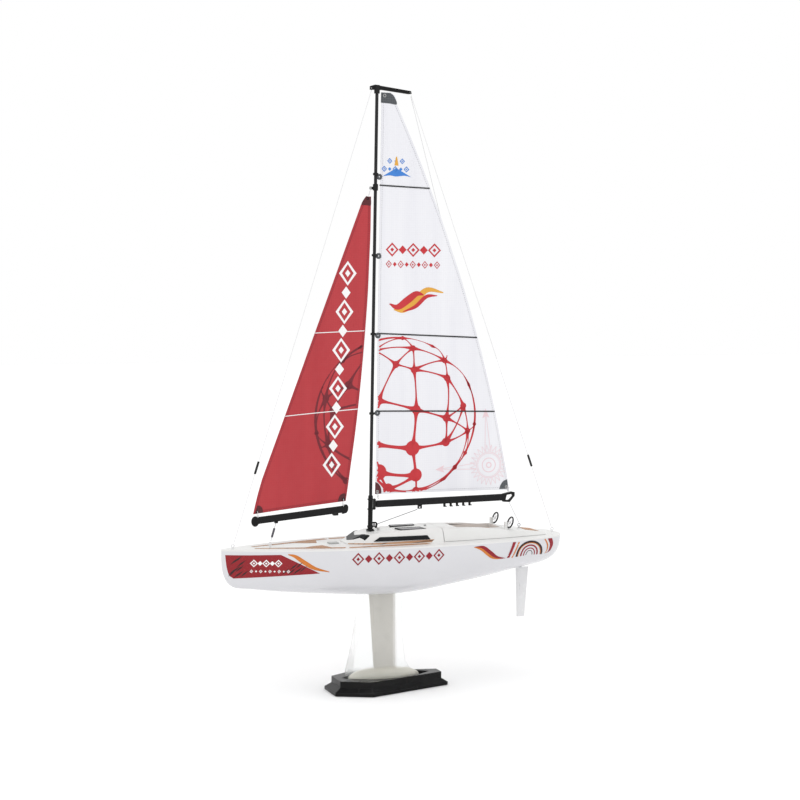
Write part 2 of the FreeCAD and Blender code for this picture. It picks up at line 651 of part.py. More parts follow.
def makeHelms():
    """Two raked wheels on short pedestals; the pedestals are handed back to join the cover."""
    wheels = []
    posts = []
    for hand, side in (("Port", ""), ("Starboard", "-")):
        pieces = [ring("Rim" + hand, "wheelRadius", "wheelWire", ("0", "0", "0"))]
        for number in range(3):
            heading = math.radians(30 + 60 * number)
            level = FreeCAD.Rotation(vec(0, 1, 0), 90)
            turn = FreeCAD.Rotation(vec(0, 0, 1), 30 + 60 * number).multiply(level)
            spoke = doc.addObject("Part::Cylinder", "Spoke%s%d" % (hand, number))
            bind(spoke, Radius="wheelWire * 0.7", Height="wheelRadius * 2")
            spoke.Placement = FreeCAD.Placement(vec(0, 0, 0), turn)
            moveTo(spoke, ("-wheelRadius * %f" % math.cos(heading),
                           "-wheelRadius * %f" % math.sin(heading), "0"))
            pieces.append(spoke)
        pieces.append(rod("Hub" + hand, "wheelWire * 2.6", "wheelWire * 3", ("0", "0", "-wheelWire * 1.5")))
        wheel = grouped("HelmTurned" + hand, fused("Helm" + hand, *pieces))
        moveTo(wheel, ("-coverMiddle - 1", side + "wheelSpread", "wheelHeight"), ((0, 1, 0), 90))
        wheel.setExpression("Placement.Rotation.Angle", link("(90 + wheelRake) * 1 deg"))
        wheels.append(wheel)
        posts.append(block("PostStand" + hand, "3", "3.4",
                           "wheelHeight - deckHeight - coverMiddleRise + 3.2",
                           ("-coverMiddle + 4.2", side + "wheelSpread * 0.97"),
                           "deckHeight + coverMiddleRise - 2.2"))
    keep("helm_wheels", grouped("HelmWheels", *wheels))
    return posts


def makeKeel(outer):
    top = "deckHeight - hullDepth + 6"
    base = "bulbHeight + bulbRadius * 0.5"
    sections = [finSection(base, "finTipBow", "-finTipStern", "finThick * 0.8"),
                finSection(top, "finBow", "finStern", "finThick")]
    blank = lofted("FinBlank", "XY_Plane", sections, True)
    berth = fixedShape("FinBerth", canoeBody(0, 4))
    bulb = makeBulb("FinBulb")
    tang = block("Tang", "tangLength", "tangThick", "tangTop - (%s) + 12" % top, ("tangStation", "0"),
                 top + " - 12")
    hole = rod("TangHole", "keelBolt", "20", ("tangStation", "-10", "tangTop - 6"), toY)
    keep("keel_fin", cutFrom("KeelFin", fused("FinAndTang", cutFrom("FinTrim", blank, bulb, berth), tang),
                             hole))
    keep("ballast_bulb", makeBulb("Ballast"))
    makeTrunk()


def makeBulb(name):
    """A ballast bulb: a blunt forward half ellipsoid and a longer after half."""
    halves = []
    for end, length, turn in (("Nose", "bulbNose", 90), ("Tail", "bulbTail", -90)):
        half = doc.addObject("Part::Ellipsoid", name + end)
        bind(half, Radius1=length, Radius2="bulbRadius")
        half.Angle1 = 0
        half.Angle2 = 90
        moveTo(half, ("bulbMiddle", "0", "bulbHeight"), ((0, 1, 0), turn))
        halves.append(half)
    return fused(name, *halves)


def finSection(level, bow, stern, thick):
    """A lenticular foil outline at one level, fuller towards the leading edge."""
    chord = "((%s) - (%s))" % (bow, stern)
    return (level, [("(%s) - 0.12 * %s" % (bow, chord), "%s * -0.42" % thick),
                    (bow, "%s * -0.1" % thick), (bow, "%s * 0.1" % thick),
                    ("(%s) - 0.12 * %s" % (bow, chord), "%s * 0.42" % thick),
                    ("(%s) - 0.35 * %s" % (bow, chord), "%s * 0.5" % thick),
                    (stern, "%s * 0.12" % thick), (stern, "%s * -0.12" % thick),
                    ("(%s) - 0.35 * %s" % (bow, chord), "%s * -0.5" % thick)])


def makeTrunk():
    """The keel trunk inside the hull, with its cross bolt and nut."""
    low = "deckHeight - hullDepth + hullWall + 1"
    walls = block("TrunkWalls", "tangLength + (slipFit + trunkWall) * 2",
                  "tangThick + (slipFit + trunkWall) * 2", "tangTop - deckHeight + hullDepth - 1",
                  ("tangStation", "0"), low)
    gap = block("TrunkGap", "tangLength + slipFit * 2", "tangThick + slipFit * 2", "60",
                ("tangStation", "0"), "deckHeight - hullDepth - 5")
    hole = rod("TrunkHole", "keelBolt", "20", ("tangStation", "-10", "tangTop - 6"), toY)
    keep("keel_trunk", cutFrom("KeelTrunk", walls, gap, hole))
    half = "tangThick / 2 + slipFit + trunkWall"
    shank = rod("BoltShank", "keelBolt", "(%s) * 2 + 3" % half,
                ("tangStation", "-(%s)" % half, "tangTop - 6"),
                toY)
    head = rod("BoltHead", "keelBolt * 1.9", "2", ("tangStation", "-(%s) - 2" % half, "tangTop - 6"), toY)
    nut = rod("NutBlank", "keelBolt * 1.9", "2.4", ("tangStation", half, "tangTop - 6"), toY)
    bore = rod("NutBore", "keelBolt", "10", ("tangStation", "0", "tangTop - 6"), toY)
    bolt = fused("KeelBoltTurned", shank, head)
    keep("keel_bolt_and_nut", grouped("KeelBolt", bolt, cutFrom("KeelNut", nut, bore)))


def makeRudder():
    level = "rudderTop"
    sections = [finSection("rudderTip", "rudderTipLead - rudderStation",
                           "-rudderTipTrail - rudderStation", "rudderThick * 0.7"),
                finSection(level, "rudderLead - rudderStation", "-rudderTrail - rudderStation",
                           "rudderThick")]
    blank = lofted("BladeBlank", "XY_Plane", sections, True)
    hole = rod("BladeHole", "stockRadius", "60", ("-rudderStation", "0", "rudderTop - 26"))
    keep("rudder_blade", cutFrom("RudderBlade", blank, hole))
    keep("rudder_stock", rod("RudderStock", "stockRadius", "armHeight + 3.4 - rudderTop + 26",
                             ("-rudderStation", "0", "rudderTop - 26")))
    bore = rod("TubeBore", "stockRadius + shaftFit", "60", ("-rudderStation", "0", "rudderTop - 5"))
    wall = rod("TubeWallRod", "stockRadius + shaftFit + tubeWall", "tubeTop - rudderTop - 0.4",
               ("-rudderStation", "0", "rudderTop + 0.4"))
    keep("rudder_tube", cutFrom("RudderTube", wall, bore))
    keep("rudder_tiller", steeringArm("Tiller", "-rudderStation", "stockRadius"))
    keep("rudder_servo_horn", steeringArm("Horn", "-steerStation", None))


def steeringArm(name, station, bore):
    """An arm that reaches to port, with a pin on its end for the push rod."""
    bar = block(name + "Bar", "3.6", "armLength", "armThick", (station, "armLength / 2"), "armHeight")
    boss = rod(name + "Boss", "3", "armThick + 1", (station, "0", "armHeight"))
    end = rod(name + "End", "1.8", "armThick", (station, "armLength", "armHeight"))
    pin = rod(name + "Pin", "pinRadius", "armThick + 2.6", (station, "armLength", "armHeight"))
    arm = fused(name + "Arm", bar, boss, end, pin)
    if bore is None:
        return arm
    return cutFrom(name, arm, rod(name + "Bore", bore, "20", (station, "0", "armHeight - 5")))


def makeLinkage():
    """The steering push rod: an eye on each arm's pin and a wire between them."""
    level = "armHeight + armThick + 0.5"
    eyes = []
    holes = []
    for name, station in (("Fore", "-steerStation"), ("Aft", "-rudderStation")):
        eyes.append(rod("RodEye" + name, "pinRadius + 1.3", "1.6", (station, "armLength", level)))
        holes.append(rod("RodHole" + name, "pinRadius + shaftFit", "6",
                         (station, "armLength", level + " - 2")))
    wire = rod("RodWire", "rodRadius", "rudderStation - steerStation - 2",
               ("1 - rudderStation", "armLength", level + " + 0.8"), toX)
    keep("steering_push_rod", cutFrom("PushRod", fused("RodBlank", wire, *eyes), *holes))


def makeServo(label, name, station, deep):
    """A micro servo with its mounting ears and output boss."""
    middle = "(%s) - servoLength / 2 + 6" % station
    case = block(name + "Case", "servoLength", "servoWidth", "servoTall", (middle, "0"), deep)
    ears = block(name + "Ears", "servoLength + 9", "servoWidth", "1.8", (middle, "0"),
                 "%s + servoTall - 6" % deep)
    boss = rod(name + "Boss", "2.4", "armHeight - 0.4 - (%s) - servoTall" % deep,
               (station, "0", "%s + servoTall" % deep))
    keep(label, fused(name, case, ears, boss))


def makeMachinery():
    makeServo("steering_servo", "SteeringServo", "-steerStation", "servoFloor")
    makeServo("sail_winch_servo", "WinchServo", "-winchStation", "servoFloor - 4")
    bar = block("WinchBar", "winchArmLength", "4", "armThick", ("winchArmLength / 2 - winchStation", "0"),
                "armHeight")
    boss = rod("WinchBoss", "3.4", "armThick + 1", ("-winchStation", "0", "armHeight"))
    end = rod("WinchEnd", "2.6", "armThick", ("winchArmLength - winchStation", "0", "armHeight"))
    hole = rod("WinchHole", "1", "10", ("winchArmLength - winchStation", "0", "armHeight - 4"))
    keep("sheeting_arm", cutFrom("SheetingArm", fused("WinchBlank", bar, boss, end), hole))
    tray = block("TrayBlank", "50", "46", "9", ("-34", "0"), "122")
    well = block("TrayWell", "47", "43.2", "9", ("-34", "0"), "123.4")
    keep("battery_tray", cutFrom("BatteryTray", tray, well))
    cells = [rod("Cell%d" % n, "5.25", "44", ("-56", "%f" % (10.7 * (n - 1.5)), "128.8"), toX)
             for n in range(4)]
    keep("battery_cells", grouped("BatteryCells", *cells))
    board = block("ReceiverBoard", "30", "20", "1.6", ("62", "0"), "124")
    can = block("ReceiverCan", "9", "9", "4", ("66", "0"), "125.6")
    aerial = rod("Aerial", "0.6", "48", ("76", "0", "124.8"), toX)
    keep("radio_receiver", fused("Receiver", board, can, aerial))
    makeSwitch()


def makeSwitch():
    """A slide switch hung under the side deck, worked from the access opening."""
    top = "deckHeight - deckThick"
    case = block("SwitchCase", "12", "6", "6", ("-95", "26"), top + " - 6")
    slot = block("SwitchSlot", "6.6", "4", "2.6", ("-95", "23.4"), top + " - 4.3")
    keep("power_switch_case", cutFrom("SwitchBody", case, slot))
    keep("power_switch_slider", block("SwitchSlider", "3", "3.8", "2", ("-96.4", "23.1"), top + " - 4"))


def makeMast():
    tube = rod("MastTubeRod", "mastRadius", "mastTop + mastHeel", ("0", "0", "-mastHeel"))
    bore = rod("MastTubeBore", "mastBore", "mastTop + mastHeel + 2", ("0", "0", "-mastHeel - 1"))
    keep("mast_tube", intoRig(cutFrom("MastTube", tube, bore)))
    fit = "mastRadius + 0.03"
    collar = revolved("SleeveTurned", [
        (fit, "0.5"), ("sleeveRadius + 1.8", "0.5"), ("sleeveRadius + 1.8", "1.7"), ("sleeveRadius", "3"),
        ("sleeveRadius", "sleeveTop"), (fit, "sleeveTop + 1")])
    keep("mast_sleeve", intoRig(fused("MastSleeve", collar, makeKickerHook())))
    makeGooseneck()
    makeCrane()
    hoist = fused("HoistBlank", rod("HoistBand", "mastRadius + 1.1", "7", ("0", "0", "hoistHeight - 1")),
                  block("HoistLug", "hoistReach", "1.4", "3", ("hoistReach / 2 + 0.4", "0"),
                        "hoistHeight"))
    keep("jib_hoist_band", intoRig(cutFrom(
        "JibHoist", hoist, rod("HoistBore", fit, "20", ("0", "0", "hoistHeight - 5")),
        rod("HoistEye", "0.8", "10", ("hoistReach - 0.9", "5", "hoistHeight + 1.5"), ((1, 0, 0), 90)))))
    rings = []
    for number, height in enumerate(("129.6", "217.4", "304", "392.6")):
        band = rod("LuffBand%d" % number, "mastRadius + 1.2", "2.6", ("0", "0", height))
        hole = rod("LuffHole%d" % number, fit, "6", ("0", "0", height + " - 1"))
        rings.append(cutFrom("LuffRing%d" % number, band, hole))
    keep("luff_rings", intoRig(grouped("LuffRings", *rings)))


def makeGooseneck():
    """A collar on the sleeve with two ears, the upright pivot pin and the hook for the kicker line."""
    reach = "pivotOffset + 1.3"
    middle = ("-(%s) / 2" % reach, "0")
    collar = rod("GooseCollar", "sleeveRadius + 0.7", "1.4", ("0", "0", "boomHeight + 4.8"))
    below = rod("GooseCollarLow", "sleeveRadius + 0.7", "1.4", ("0", "0", "boomHeight - 6.2"))
    upper = block("GooseEar", reach, "2.6", "1.2", middle, "boomHeight + 4.6")
    lower = block("GooseEarLow", reach, "2.6", "1.2", middle, "boomHeight - 5.8")
    bore = rod("GooseBore", "sleeveRadius", "40", ("0", "0", "boomHeight - 20"))
    pivot = rod("GoosePinHole", "pinRadius", "40", ("-pivotOffset", "0", "boomHeight - 20"))
    keep("gooseneck_bracket", intoRig(cutFrom("Gooseneck", fused("GooseBlank", collar, below, upper, lower),
                                              bore, pivot)))
    keep("gooseneck_pin", intoRig(grouped("GoosePin", rod(
        "GoosePinRod", "pinRadius", "13.4", ("-pivotOffset", "0", "boomHeight - 6.6")))))


def makeKickerHook():
    """The peg behind the foot of the sleeve that the kicker line hooks on to."""
    reach = "pivotOffset + 1.3"
    band = rod("KickerBand", "sleeveRadius + 0.7", "2", ("0", "0", "4"))
    arm = block("KickerArm", reach, "1.6", "1.2", ("-(%s) / 2" % reach, "0"), "4.4")
    peg = rod("KickerPeg", "0.6", "4", ("-pivotOffset", "0", "4.4"))
    hole = rod("KickerBore", "mastRadius + 0.4", "12", ("0", "0", "0"))
    return cutFrom("KickerHook", fused("KickerBlank", band, arm, peg), hole)


def makeCrane():
    """The masthead crane: a socket on the mast, a short forward lug and an arm that droops aft."""
    profile = [("craneFore + 1.6", "mastTop - 3.4"), ("craneFore + 1.6", "mastTop + 0.6"),
               ("2.6", "mastTop + 2.4"), ("-4", "mastTop + 1.4"), ("-craneAft - 0.6", "mastTop - 2.4"),
               ("-craneAft - 1.4", "mastTop - 5.4"), ("-craneAft + 1.6", "mastTop - 5.8"),
               ("-6", "mastTop - 3")]
    arm = padded("CraneArm", "XZ_Plane", profile[::-1], "craneWide")
    socket = rod("CraneSocket", "mastRadius + 1.3", "9", ("0", "0", "mastTop - 7"))
    bore = rod("CraneBore", "mastRadius + 0.03", "20", ("0", "0", "mastTop - 20"))
    fore = rod("CraneForeEye", "0.8", "10", ("craneFore", "5", "mastTop - 1.4"), ((1, 0, 0), 90))
    aft = rod("CraneAftEye", "0.8", "10", ("-craneAft", "5", "mastTop - 4.2"), ((1, 0, 0), 90))
    keep("masthead_crane", intoRig(cutFrom("Crane", fused("CraneBlank", arm, socket), bore, fore, aft)))


def boomSpot(reach, lift="0"):
    """A point of the boom's centre line, by its distance behind the mast axis."""
    return ("-(%s)" % reach, "0", "boomHeight + (%s) * tan(boomSlope) + (%s)" % (reach, lift))


def makeMainBoom():
    half = "boomTall / 2"
    beam = []
    for reach, tall in (("boomStart", half), ("boomEnd", half + " - 0.2")):
        level = boomSpot(reach)[2]
        beam.append(("-(%s)" % reach, [
            ("boomWide / -2", "%s - %s + 1" % (level, tall)),
            ("boomWide / -2 + 1", "%s - %s" % (level, tall)),
            ("boomWide / 2 - 1", "%s - %s" % (level, tall)), ("boomWide / 2", "%s - %s + 1" % (level, tall)),
            ("boomWide / 2", "%s + %s - 1" % (level, tall)), ("boomWide / 2 - 1", "%s + %s" % (level, tall)),
            ("boomWide / -2 + 1", "%s + %s" % (level, tall)),
            ("boomWide / -2", "%s + %s - 1" % (level, tall))]))
    keep("main_boom", intoRig(grouped("MainBoom", lofted("BoomBeam", "YZ_Plane", beam, True))))
    knuckle = rod("KnuckleRod", "pinRadius + 0.85", "9", ("-pivotOffset", "0", "boomHeight - 4.5"))
    tongue = block("KnuckleTongue", "boomStart - pivotOffset", "2", "4.6",
                   ("-(boomStart + pivotOffset) / 2", "0"), "boomHeight - 2.2")
    bore = rod("KnuckleBore", "pinRadius + shaftFit", "20", ("-pivotOffset", "0", "boomHeight - 10"))
    keep("boom_knuckle", intoRig(cutFrom("BoomKnuckle", fused("KnuckleBlank", knuckle, tongue), bore)))
    makeBoomEnd()
    makeBoomHooks()
    start = ("mastStation - pivotOffset - 1.9", "0", "mastFootHeight + 6.9")
    end = ("mastStation - 56.4", "0", "mastFootHeight + 21.7")
    eye = intoRig(grouped("KickerEye", ring("KickerRing", "1.35", "0.38", ("-pivotOffset", "0", "6.6"))))
    keep("kicker_line", fused("KickerRope", strut("KickerLine", start, end, "lineRadius"), eye))


def makeBoomEnd():
    """The open end fitting of the main boom, deeper than the boom itself."""
    top = boomSpot("boomEnd")[2] + " + boomTall / 2"
    frame = [("-boomEnd", top), ("-boomEnd", top + " - boomTall - 1.6"),
             ("6 - boomTip", top + " - boomTall - 2.2"), ("-boomTip", top + " - 2.8"),
             ("-boomTip", top + " + 1.4"), ("3.4 - boomTip", top + " + 2.2")]
    window = [("-boomEnd - 4.4", top + " - 1.4"), ("-boomEnd - 3", top + " - boomTall + 0.2"),
              ("6.6 - boomTip", top + " - boomTall + 0.2"), ("2.2 - boomTip", top + " - 3"),
              ("2.8 - boomTip", top + " - 0.4")]
    outside = padded("BoomEndFrame", "XZ_Plane", frame, "boomWide")
    inside = padded("BoomEndWindow", "XZ_Plane", window, "boomWide * 2")
    keep("boom_end_fitting", intoRig(cutFrom("BoomEndFitting", outside, inside)))


def makeBoomHooks():
    """The tab for the kicker and five small sheeting hooks, all clipped under the boom."""
    pieces = []
    for number in range(5):
        reach = "(89 + %f)" % (7.7 * number)
        level = boomSpot(reach, "-boomTall / 2")[2]
        stem = block("HookStem%d" % number, "2.4", "1.6", "3.4", ("-%s" % reach, "0"), level + " - 3.2")
        toe = block("HookToe%d" % number, "3.6", "1.6", "1.1", ("-%s - 0.8" % reach, "0"), level + " - 3.8")
        pieces.append(fused("Hook%d" % number, stem, toe))
    level = boomSpot("59", "-boomTall / 2")[2]
    tab = block("KickerTab", "5", "1.6", "4.4", ("-59", "0"), level + " - 4.2")
    hole = rod("KickerTabHole", "0.9", "10", ("-59", "5", level + " - 2.6"), ((1, 0, 0), 90))
    pieces.append(cutFrom("KickerTabCut", tab, hole))
    beam = doc.getObject("BoomBeam")
    keep("boom_hooks", intoRig(cutFrom("BoomHooks", grouped("HookSet", *pieces), beam)))


def makeMainSail():
    corners = [("-clewReach", "clewHeight"), ("-luffLine", "tackHeight"), ("-luffLine", "headHeight"),
               ("-headReach", "headHeight"), ("-headShoulder", "headHeight - shoulderDrop", "leechRadius")]
    keep("mainsail", intoRig(padded("MainSail", "XZ_Plane", corners, "sailThick")))
    strips = []
    for number, (fore, aft) in enumerate((("382", "380.6"), ("219.4", "215.4"), ("133.4", "131.6"))):
        drop = "(headHeight - shoulderDrop - %s)" % aft
        reach = "(headShoulder + %s * 0.3262 + %s * (428.4 - %s) / 3190 - 3)" % (drop, drop, drop)
        strip = [("-luffLine - 1", "%s - battenTall / 2" % fore),
                 ("-luffLine - 1", "%s + battenTall / 2" % fore),
                 ("-%s" % reach, "%s + battenTall / 2" % aft), ("-%s" % reach, "%s - battenTall / 2" % aft)]
        body = padded("Batten%d" % number, "XZ_Plane", strip, "0.5", "-sailThick / 2 - 0.5", False)
        strips.append(body)
    keep("battens", intoRig(grouped("Battens", *strips)))


def makeStays():
    crane = ("mastStation - mastTop * sin(mastRake) + craneFore", "0", "mastFootHeight + mastTop - 3.5")
    bow = ("bowEye - 1", "0", "deckHeight + eyeLift + 2.2")
    keep("forestay", strut("Forestay", bow, crane, "stayRadius"))
    tail = ("mastStation - mastTop * sin(mastRake) - craneAft - 1.2", "0", "mastFootHeight + mastTop - 7.4")
    stern = ("1 - sternEye", "0", "deckHeight + eyeLift + 2.2")
    keep("backstay", strut("Backstay", stern, tail, "stayRadius"))
    tubes = []
    for name, low, high, share in (("Bow", bow, crane, 0.152), ("Stern", stern, tail, 0.147)):
        first = vec(*[size(rule) for rule in low])
        last = vec(*[size(rule) for rule in high])
        start = first + (last - first) * share
        way = (last - first).normalize() * 14
        bore = Part.makeCylinder(size("stayRadius"), 14, start, way)
        tubes.append(fixedShape("Adjuster" + name, Part.makeCylinder(1.25, 14, start, way).cut(bore)))
    keep("stay_adjusters", grouped("StayAdjusters", *tubes))
    end = ("mastStation - boomTip + 6", "-boomWide / 2 - 0.8", "mastFootHeight + 37.6")
    head = ("mastStation - mastTop * sin(mastRake) - craneAft - 1.6", "-1.2",
            "mastFootHeight + mastTop - 8.4")
    keep("topping_lift", strut("ToppingLift", end, head, "stayRadius"))
    deckEnd = ("mastStation - boomTip - 7", "0", "deckHeight + coverMiddleRise + 3.6")
    boomEnd = ("mastStation - boomTip + 5.4", "0", "mastFootHeight + 24.2")
    keep("main_sheet", strut("MainSheet", deckEnd, boomEnd, "stayRadius"))


def wireEye(name, station, level="deckHeight"):
    """A screw eye: a ring standing fore and aft on a short shank."""
    loop = ring(name + "Ring", "eyeRadius", "eyeWire", (station, "0", "%s + eyeLift" % level),
                ((1, 0, 0), 90))
    shank = rod(name + "Shank", "eyeWire", "eyeLift - eyeRadius", (station, "0", level))
    foot = rod(name + "Foot", "1.5", "0.5", (station, "0", level))
    return fused(name, loop, shank, foot)


def makeEyes():
    eyes = [wireEye("BowEye", "bowEye"), wireEye("SternEye", "-sternEye"), wireEye("JibEye", "jibEye")]
    keep("rigging_eyes", grouped("RiggingEyes", *eyes))
    station = "mastStation - boomTip - 7"
    keep("main_sheet_eye", wireEye("SheetEye", station, "deckHeight + coverMiddleRise - 2.4"))
    leads = []
    for name, station, rise in (("Fore", "20", "12.9"), ("Aft", "-36", "14")):
        post = rod("Lead" + name, "1.5", "1.8", (station, "0", "deckHeight + %s" % rise))
        hole = rod("LeadHole" + name, "0.8", "10", (station, "0", "deckHeight + %s - 1" % rise))
        leads.append(cutFrom("Fairlead" + name, post, hole))
    roof = lofted("LeadCore", "YZ_Plane", roofSections("0", "deckHeight - 1"), True)
    keep("sheet_fairleads", cutFrom("SheetFairleads", grouped("Leads", *leads), roof))


def jibAxisAt(height):
    """Station of the jib boom's turning axis at a height above the ground."""
    return "jibEye - ((%s) - deckHeight - eyeLift) * tan(jibPivotLean)" % height


def jibBoomAt(station):
    """Centre line of the jib boom."""
    return "(jibBoomHeight + (jibBoomFore - (%s)) / (jibBoomFore - jibBoomAft) * jibBoomRise)" % station


def makeJib():
    beam = []
    for station in ("jibBoomAft", "jibBoomFore"):
        level = jibBoomAt(station)
        beam.append((station, [
            ("jibBoomWide / -2", level + " - 2.6"), ("jibBoomWide / -2 + 1", level + " - jibBoomTall / 2"),
            ("jibBoomWide / 2 - 1", level + " - jibBoomTall / 2"), ("jibBoomWide / 2", level + " - 2.6"),
            ("jibBoomWide / 2", level + " + 2.6"), ("jibBoomWide / 2 - 1", level + " + jibBoomTall / 2"),
            ("jibBoomWide / -2 + 1", level + " + jibBoomTall / 2"), ("jibBoomWide / -2", level + " + 2.6")]))
    beamBody = lofted("JibBeam", "YZ_Plane", beam, True)
    boss = block("JibBoss", "3.6", "2.6", "3", ("138.6", "0"),
                 jibBoomAt("138.6") + " - jibBoomTall / 2 - 1.8")
    slotSpot = (jibAxisAt(jibBoomAt("138.8") + " - 7"), "0", jibBoomAt("138.8") + " - 7")
    slot = rod("JibSlot", "0.9", "15", slotSpot, ((0, 1, 0), -size("jibPivotLean")))
    keep("jib_boom", cutFrom("JibBoom", fused("JibBeamSet", beamBody, boss), slot))
    weight = doc.addObject("Part::Ellipsoid", "WeightBlank")
    bind(weight, Radius1="5.7", Radius2="4.4", Radius3="3")
    moveTo(weight, ("jibBoomFore - 2", "0", jibBoomAt("jibBoomFore") + " - 0.6"))
    keep("jib_counterweight", cutFrom("JibWeight", weight, lofted("JibBeamTool", "YZ_Plane", beam, True)))
    makeJibEnd()
    low = (jibAxisAt("173.4"), "0", "173.4")
    high = (jibAxisAt("201.2"), "0", "201.2")
    tubeLow = (jibAxisAt("177.4"), "0", "177.4")
    tubeHigh = (jibAxisAt("187.2"), "0", "187.2")
    keep("jib_swivel_tube", strut("JibSwivelTube", tubeLow, tubeHigh, "1.2", "lineRadius"))
    corners = [("jibClewStation", "jibClewHeight"), ("jibTackStation", "jibTackHeight"),
               ("jibKneeStation", "jibKneeHeight"),
               ("jibShoulderStation", "jibHeadHeight - jibShoulderDrop"), ("jibHeadFore", "jibHeadHeight"),
               ("jibHeadAft", "jibHeadHeight", "jibLeechRadius")]
    keep("jib_sail", padded("JibSail", "XZ_Plane", corners, "sailThick"))
    haul = (jibAxisAt("jibHeadHeight + 0.6"), "0", "jibHeadHeight + 0.6")
    top = (jibAxisAt("jibHeadHeight + 7"), "0", "jibHeadHeight + 7")
    keep("jib_pivot_lines", grouped("JibPivotLines", strut("JibSwivelLine", low, high, "lineRadius"),
                                    strut("JibHalyard", haul, top, "lineRadius")))


def makeJibEnd():
    """The hooked fitting on the after end of the jib boom and the clip for the clew."""
    level = jibBoomAt("jibBoomAft")
    hook = [("jibBoomAft + 3", level + " - 4"), ("jibBoomAft + 0.6", level + " + 4.6"),
            ("jibBoomAft - 2.2", level + " + 4.8"), ("jibBoomAft - 3.6", level + " + 2.4"),
            ("jibBoomAft - 3.4", level + " - 1.6"), ("jibBoomAft - 1.4", level + " - 4.4"),
            ("jibBoomAft + 3", level + " - 5.4")]
    hooked = padded("JibHook", "XZ_Plane", hook[::-1], "jibBoomWide")
    clip = block("JibClip", "5.6", "jibBoomWide + 0.8", "3.6", ("jibBoomAft + 11", "0"),
                 jibBoomAt("jibBoomAft + 11") + " - jibBoomTall / 2 - 2")
    beam = doc.getObject("JibBeam")
    keep("jib_boom_end", cutFrom("JibBoomEnd", grouped("JibEndSet", hooked, clip), beam))


makeStand()
hullSolid = makeHull()
makeDeck(hullSolid)
makeCockpit()
makeKeel(hullSolid)
makeRudder()
makeLinkage()
makeMachinery()
makeMast()
makeMainBoom()
makeMainSail()
makeStays()
makeEyes()
makeJib()

doc.recompute()
faults = []
for thing in doc.Objects:
    if "Invalid" in thing.State or "Error" in thing.State:
        faults.append(thing.Name)
for thing in nodes:
    if thing.Shape.isNull() or not thing.Shape.isValid() or not thing.Shape.Solids:
        faults.append(thing.Label)
if faults:
    raise RuntimeError("faulty pieces: " + ", ".join(faults))
os.makedirs("parts", exist_ok=True)
for thing in nodes:
    thing.Shape.exportStep("parts/%s.step" % thing.Label)
print("pieces", len(nodes))
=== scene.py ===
import json
import math
import random

import bpy
from mathutils import Matrix, Vector
from mathutils.bvhtree import BVHTree


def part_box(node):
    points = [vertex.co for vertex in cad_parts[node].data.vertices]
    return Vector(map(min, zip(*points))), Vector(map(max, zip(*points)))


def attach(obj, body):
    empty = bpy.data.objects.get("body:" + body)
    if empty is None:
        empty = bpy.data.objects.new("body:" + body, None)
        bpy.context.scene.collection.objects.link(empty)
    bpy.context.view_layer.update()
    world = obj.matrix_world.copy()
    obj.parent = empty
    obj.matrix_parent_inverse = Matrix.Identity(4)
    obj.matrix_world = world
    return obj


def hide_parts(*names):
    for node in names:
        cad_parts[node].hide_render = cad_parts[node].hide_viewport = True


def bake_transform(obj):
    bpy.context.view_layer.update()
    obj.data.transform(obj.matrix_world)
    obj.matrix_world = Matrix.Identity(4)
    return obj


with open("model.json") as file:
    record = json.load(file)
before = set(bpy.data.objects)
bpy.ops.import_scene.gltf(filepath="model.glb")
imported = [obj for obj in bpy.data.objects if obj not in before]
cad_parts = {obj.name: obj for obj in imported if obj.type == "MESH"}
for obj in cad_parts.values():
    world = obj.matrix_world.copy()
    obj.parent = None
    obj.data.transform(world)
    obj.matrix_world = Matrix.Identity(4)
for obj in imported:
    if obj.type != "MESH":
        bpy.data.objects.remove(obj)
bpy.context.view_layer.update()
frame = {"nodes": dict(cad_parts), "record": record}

nodes = frame["nodes"]
mm = 0.001
print("frame loaded:", len(nodes), "pieces of the yacht")


# materials: every finish is a small node tree on the boat's own coordinates

def startMaterial(name):
    mat = bpy.data.materials.new(name)
    mat.use_nodes = True
    tree = mat.node_tree
    return mat, tree, tree.nodes["Principled BSDF"]


def node(tree, kind, sockets=None, **settings):
    made = tree.nodes.new(kind)
    for key, value in settings.items():
        setattr(made, key, value)
    for key, value in (sockets or {}).items():
        made.inputs[key].default_value = value
    return made


def boatCoords(tree, stretch=(1, 1, 1), turn=(0, 0, 0)):
    coords = node(tree, "ShaderNodeTexCoord")
    mapping = node(tree, "ShaderNodeMapping", {"Scale": stretch, "Rotation": turn})
    tree.links.new(coords.outputs["Object"], mapping.inputs["Vector"])
    return mapping.outputs["Vector"]


def noiseOn(tree, vector, scale, detail=3.0, rough=0.5):
    noise = node(tree, "ShaderNodeTexNoise", {"Scale": scale, "Detail": detail, "Roughness": rough})
    tree.links.new(vector, noise.inputs["Vector"])
    return noise.outputs["Fac"]


def spread(tree, value, low, high, fromLow=0.3, fromHigh=0.7):
    ranged = node(tree, "ShaderNodeMapRange",
                  {"From Min": fromLow, "From Max": fromHigh, "To Min": low, "To Max": high})
    tree.links.new(value, ranged.inputs["Value"])
    return ranged.outputs["Result"]


def blendColours(tree, factor, first, second):
    mix = node(tree, "ShaderNodeMix", data_type="RGBA")
    for slotIndex, source in ((6, first), (7, second)):
        if isinstance(source, tuple):
            mix.inputs[slotIndex].default_value = (*source, 1)
        else:
            tree.links.new(source, mix.inputs[slotIndex])
    tree.links.new(factor, mix.inputs["Factor"])
    return mix.outputs[2]


def calc(tree, operation, first, second=0.0, third=0.0):
    maths = node(tree, "ShaderNodeMath", operation=operation)
    for index, source in enumerate((first, second, third)):
        if isinstance(source, (int, float)):
            maths.inputs[index].default_value = source
        else:
            tree.links.new(source, maths.inputs[index])
    return maths.outputs[0]


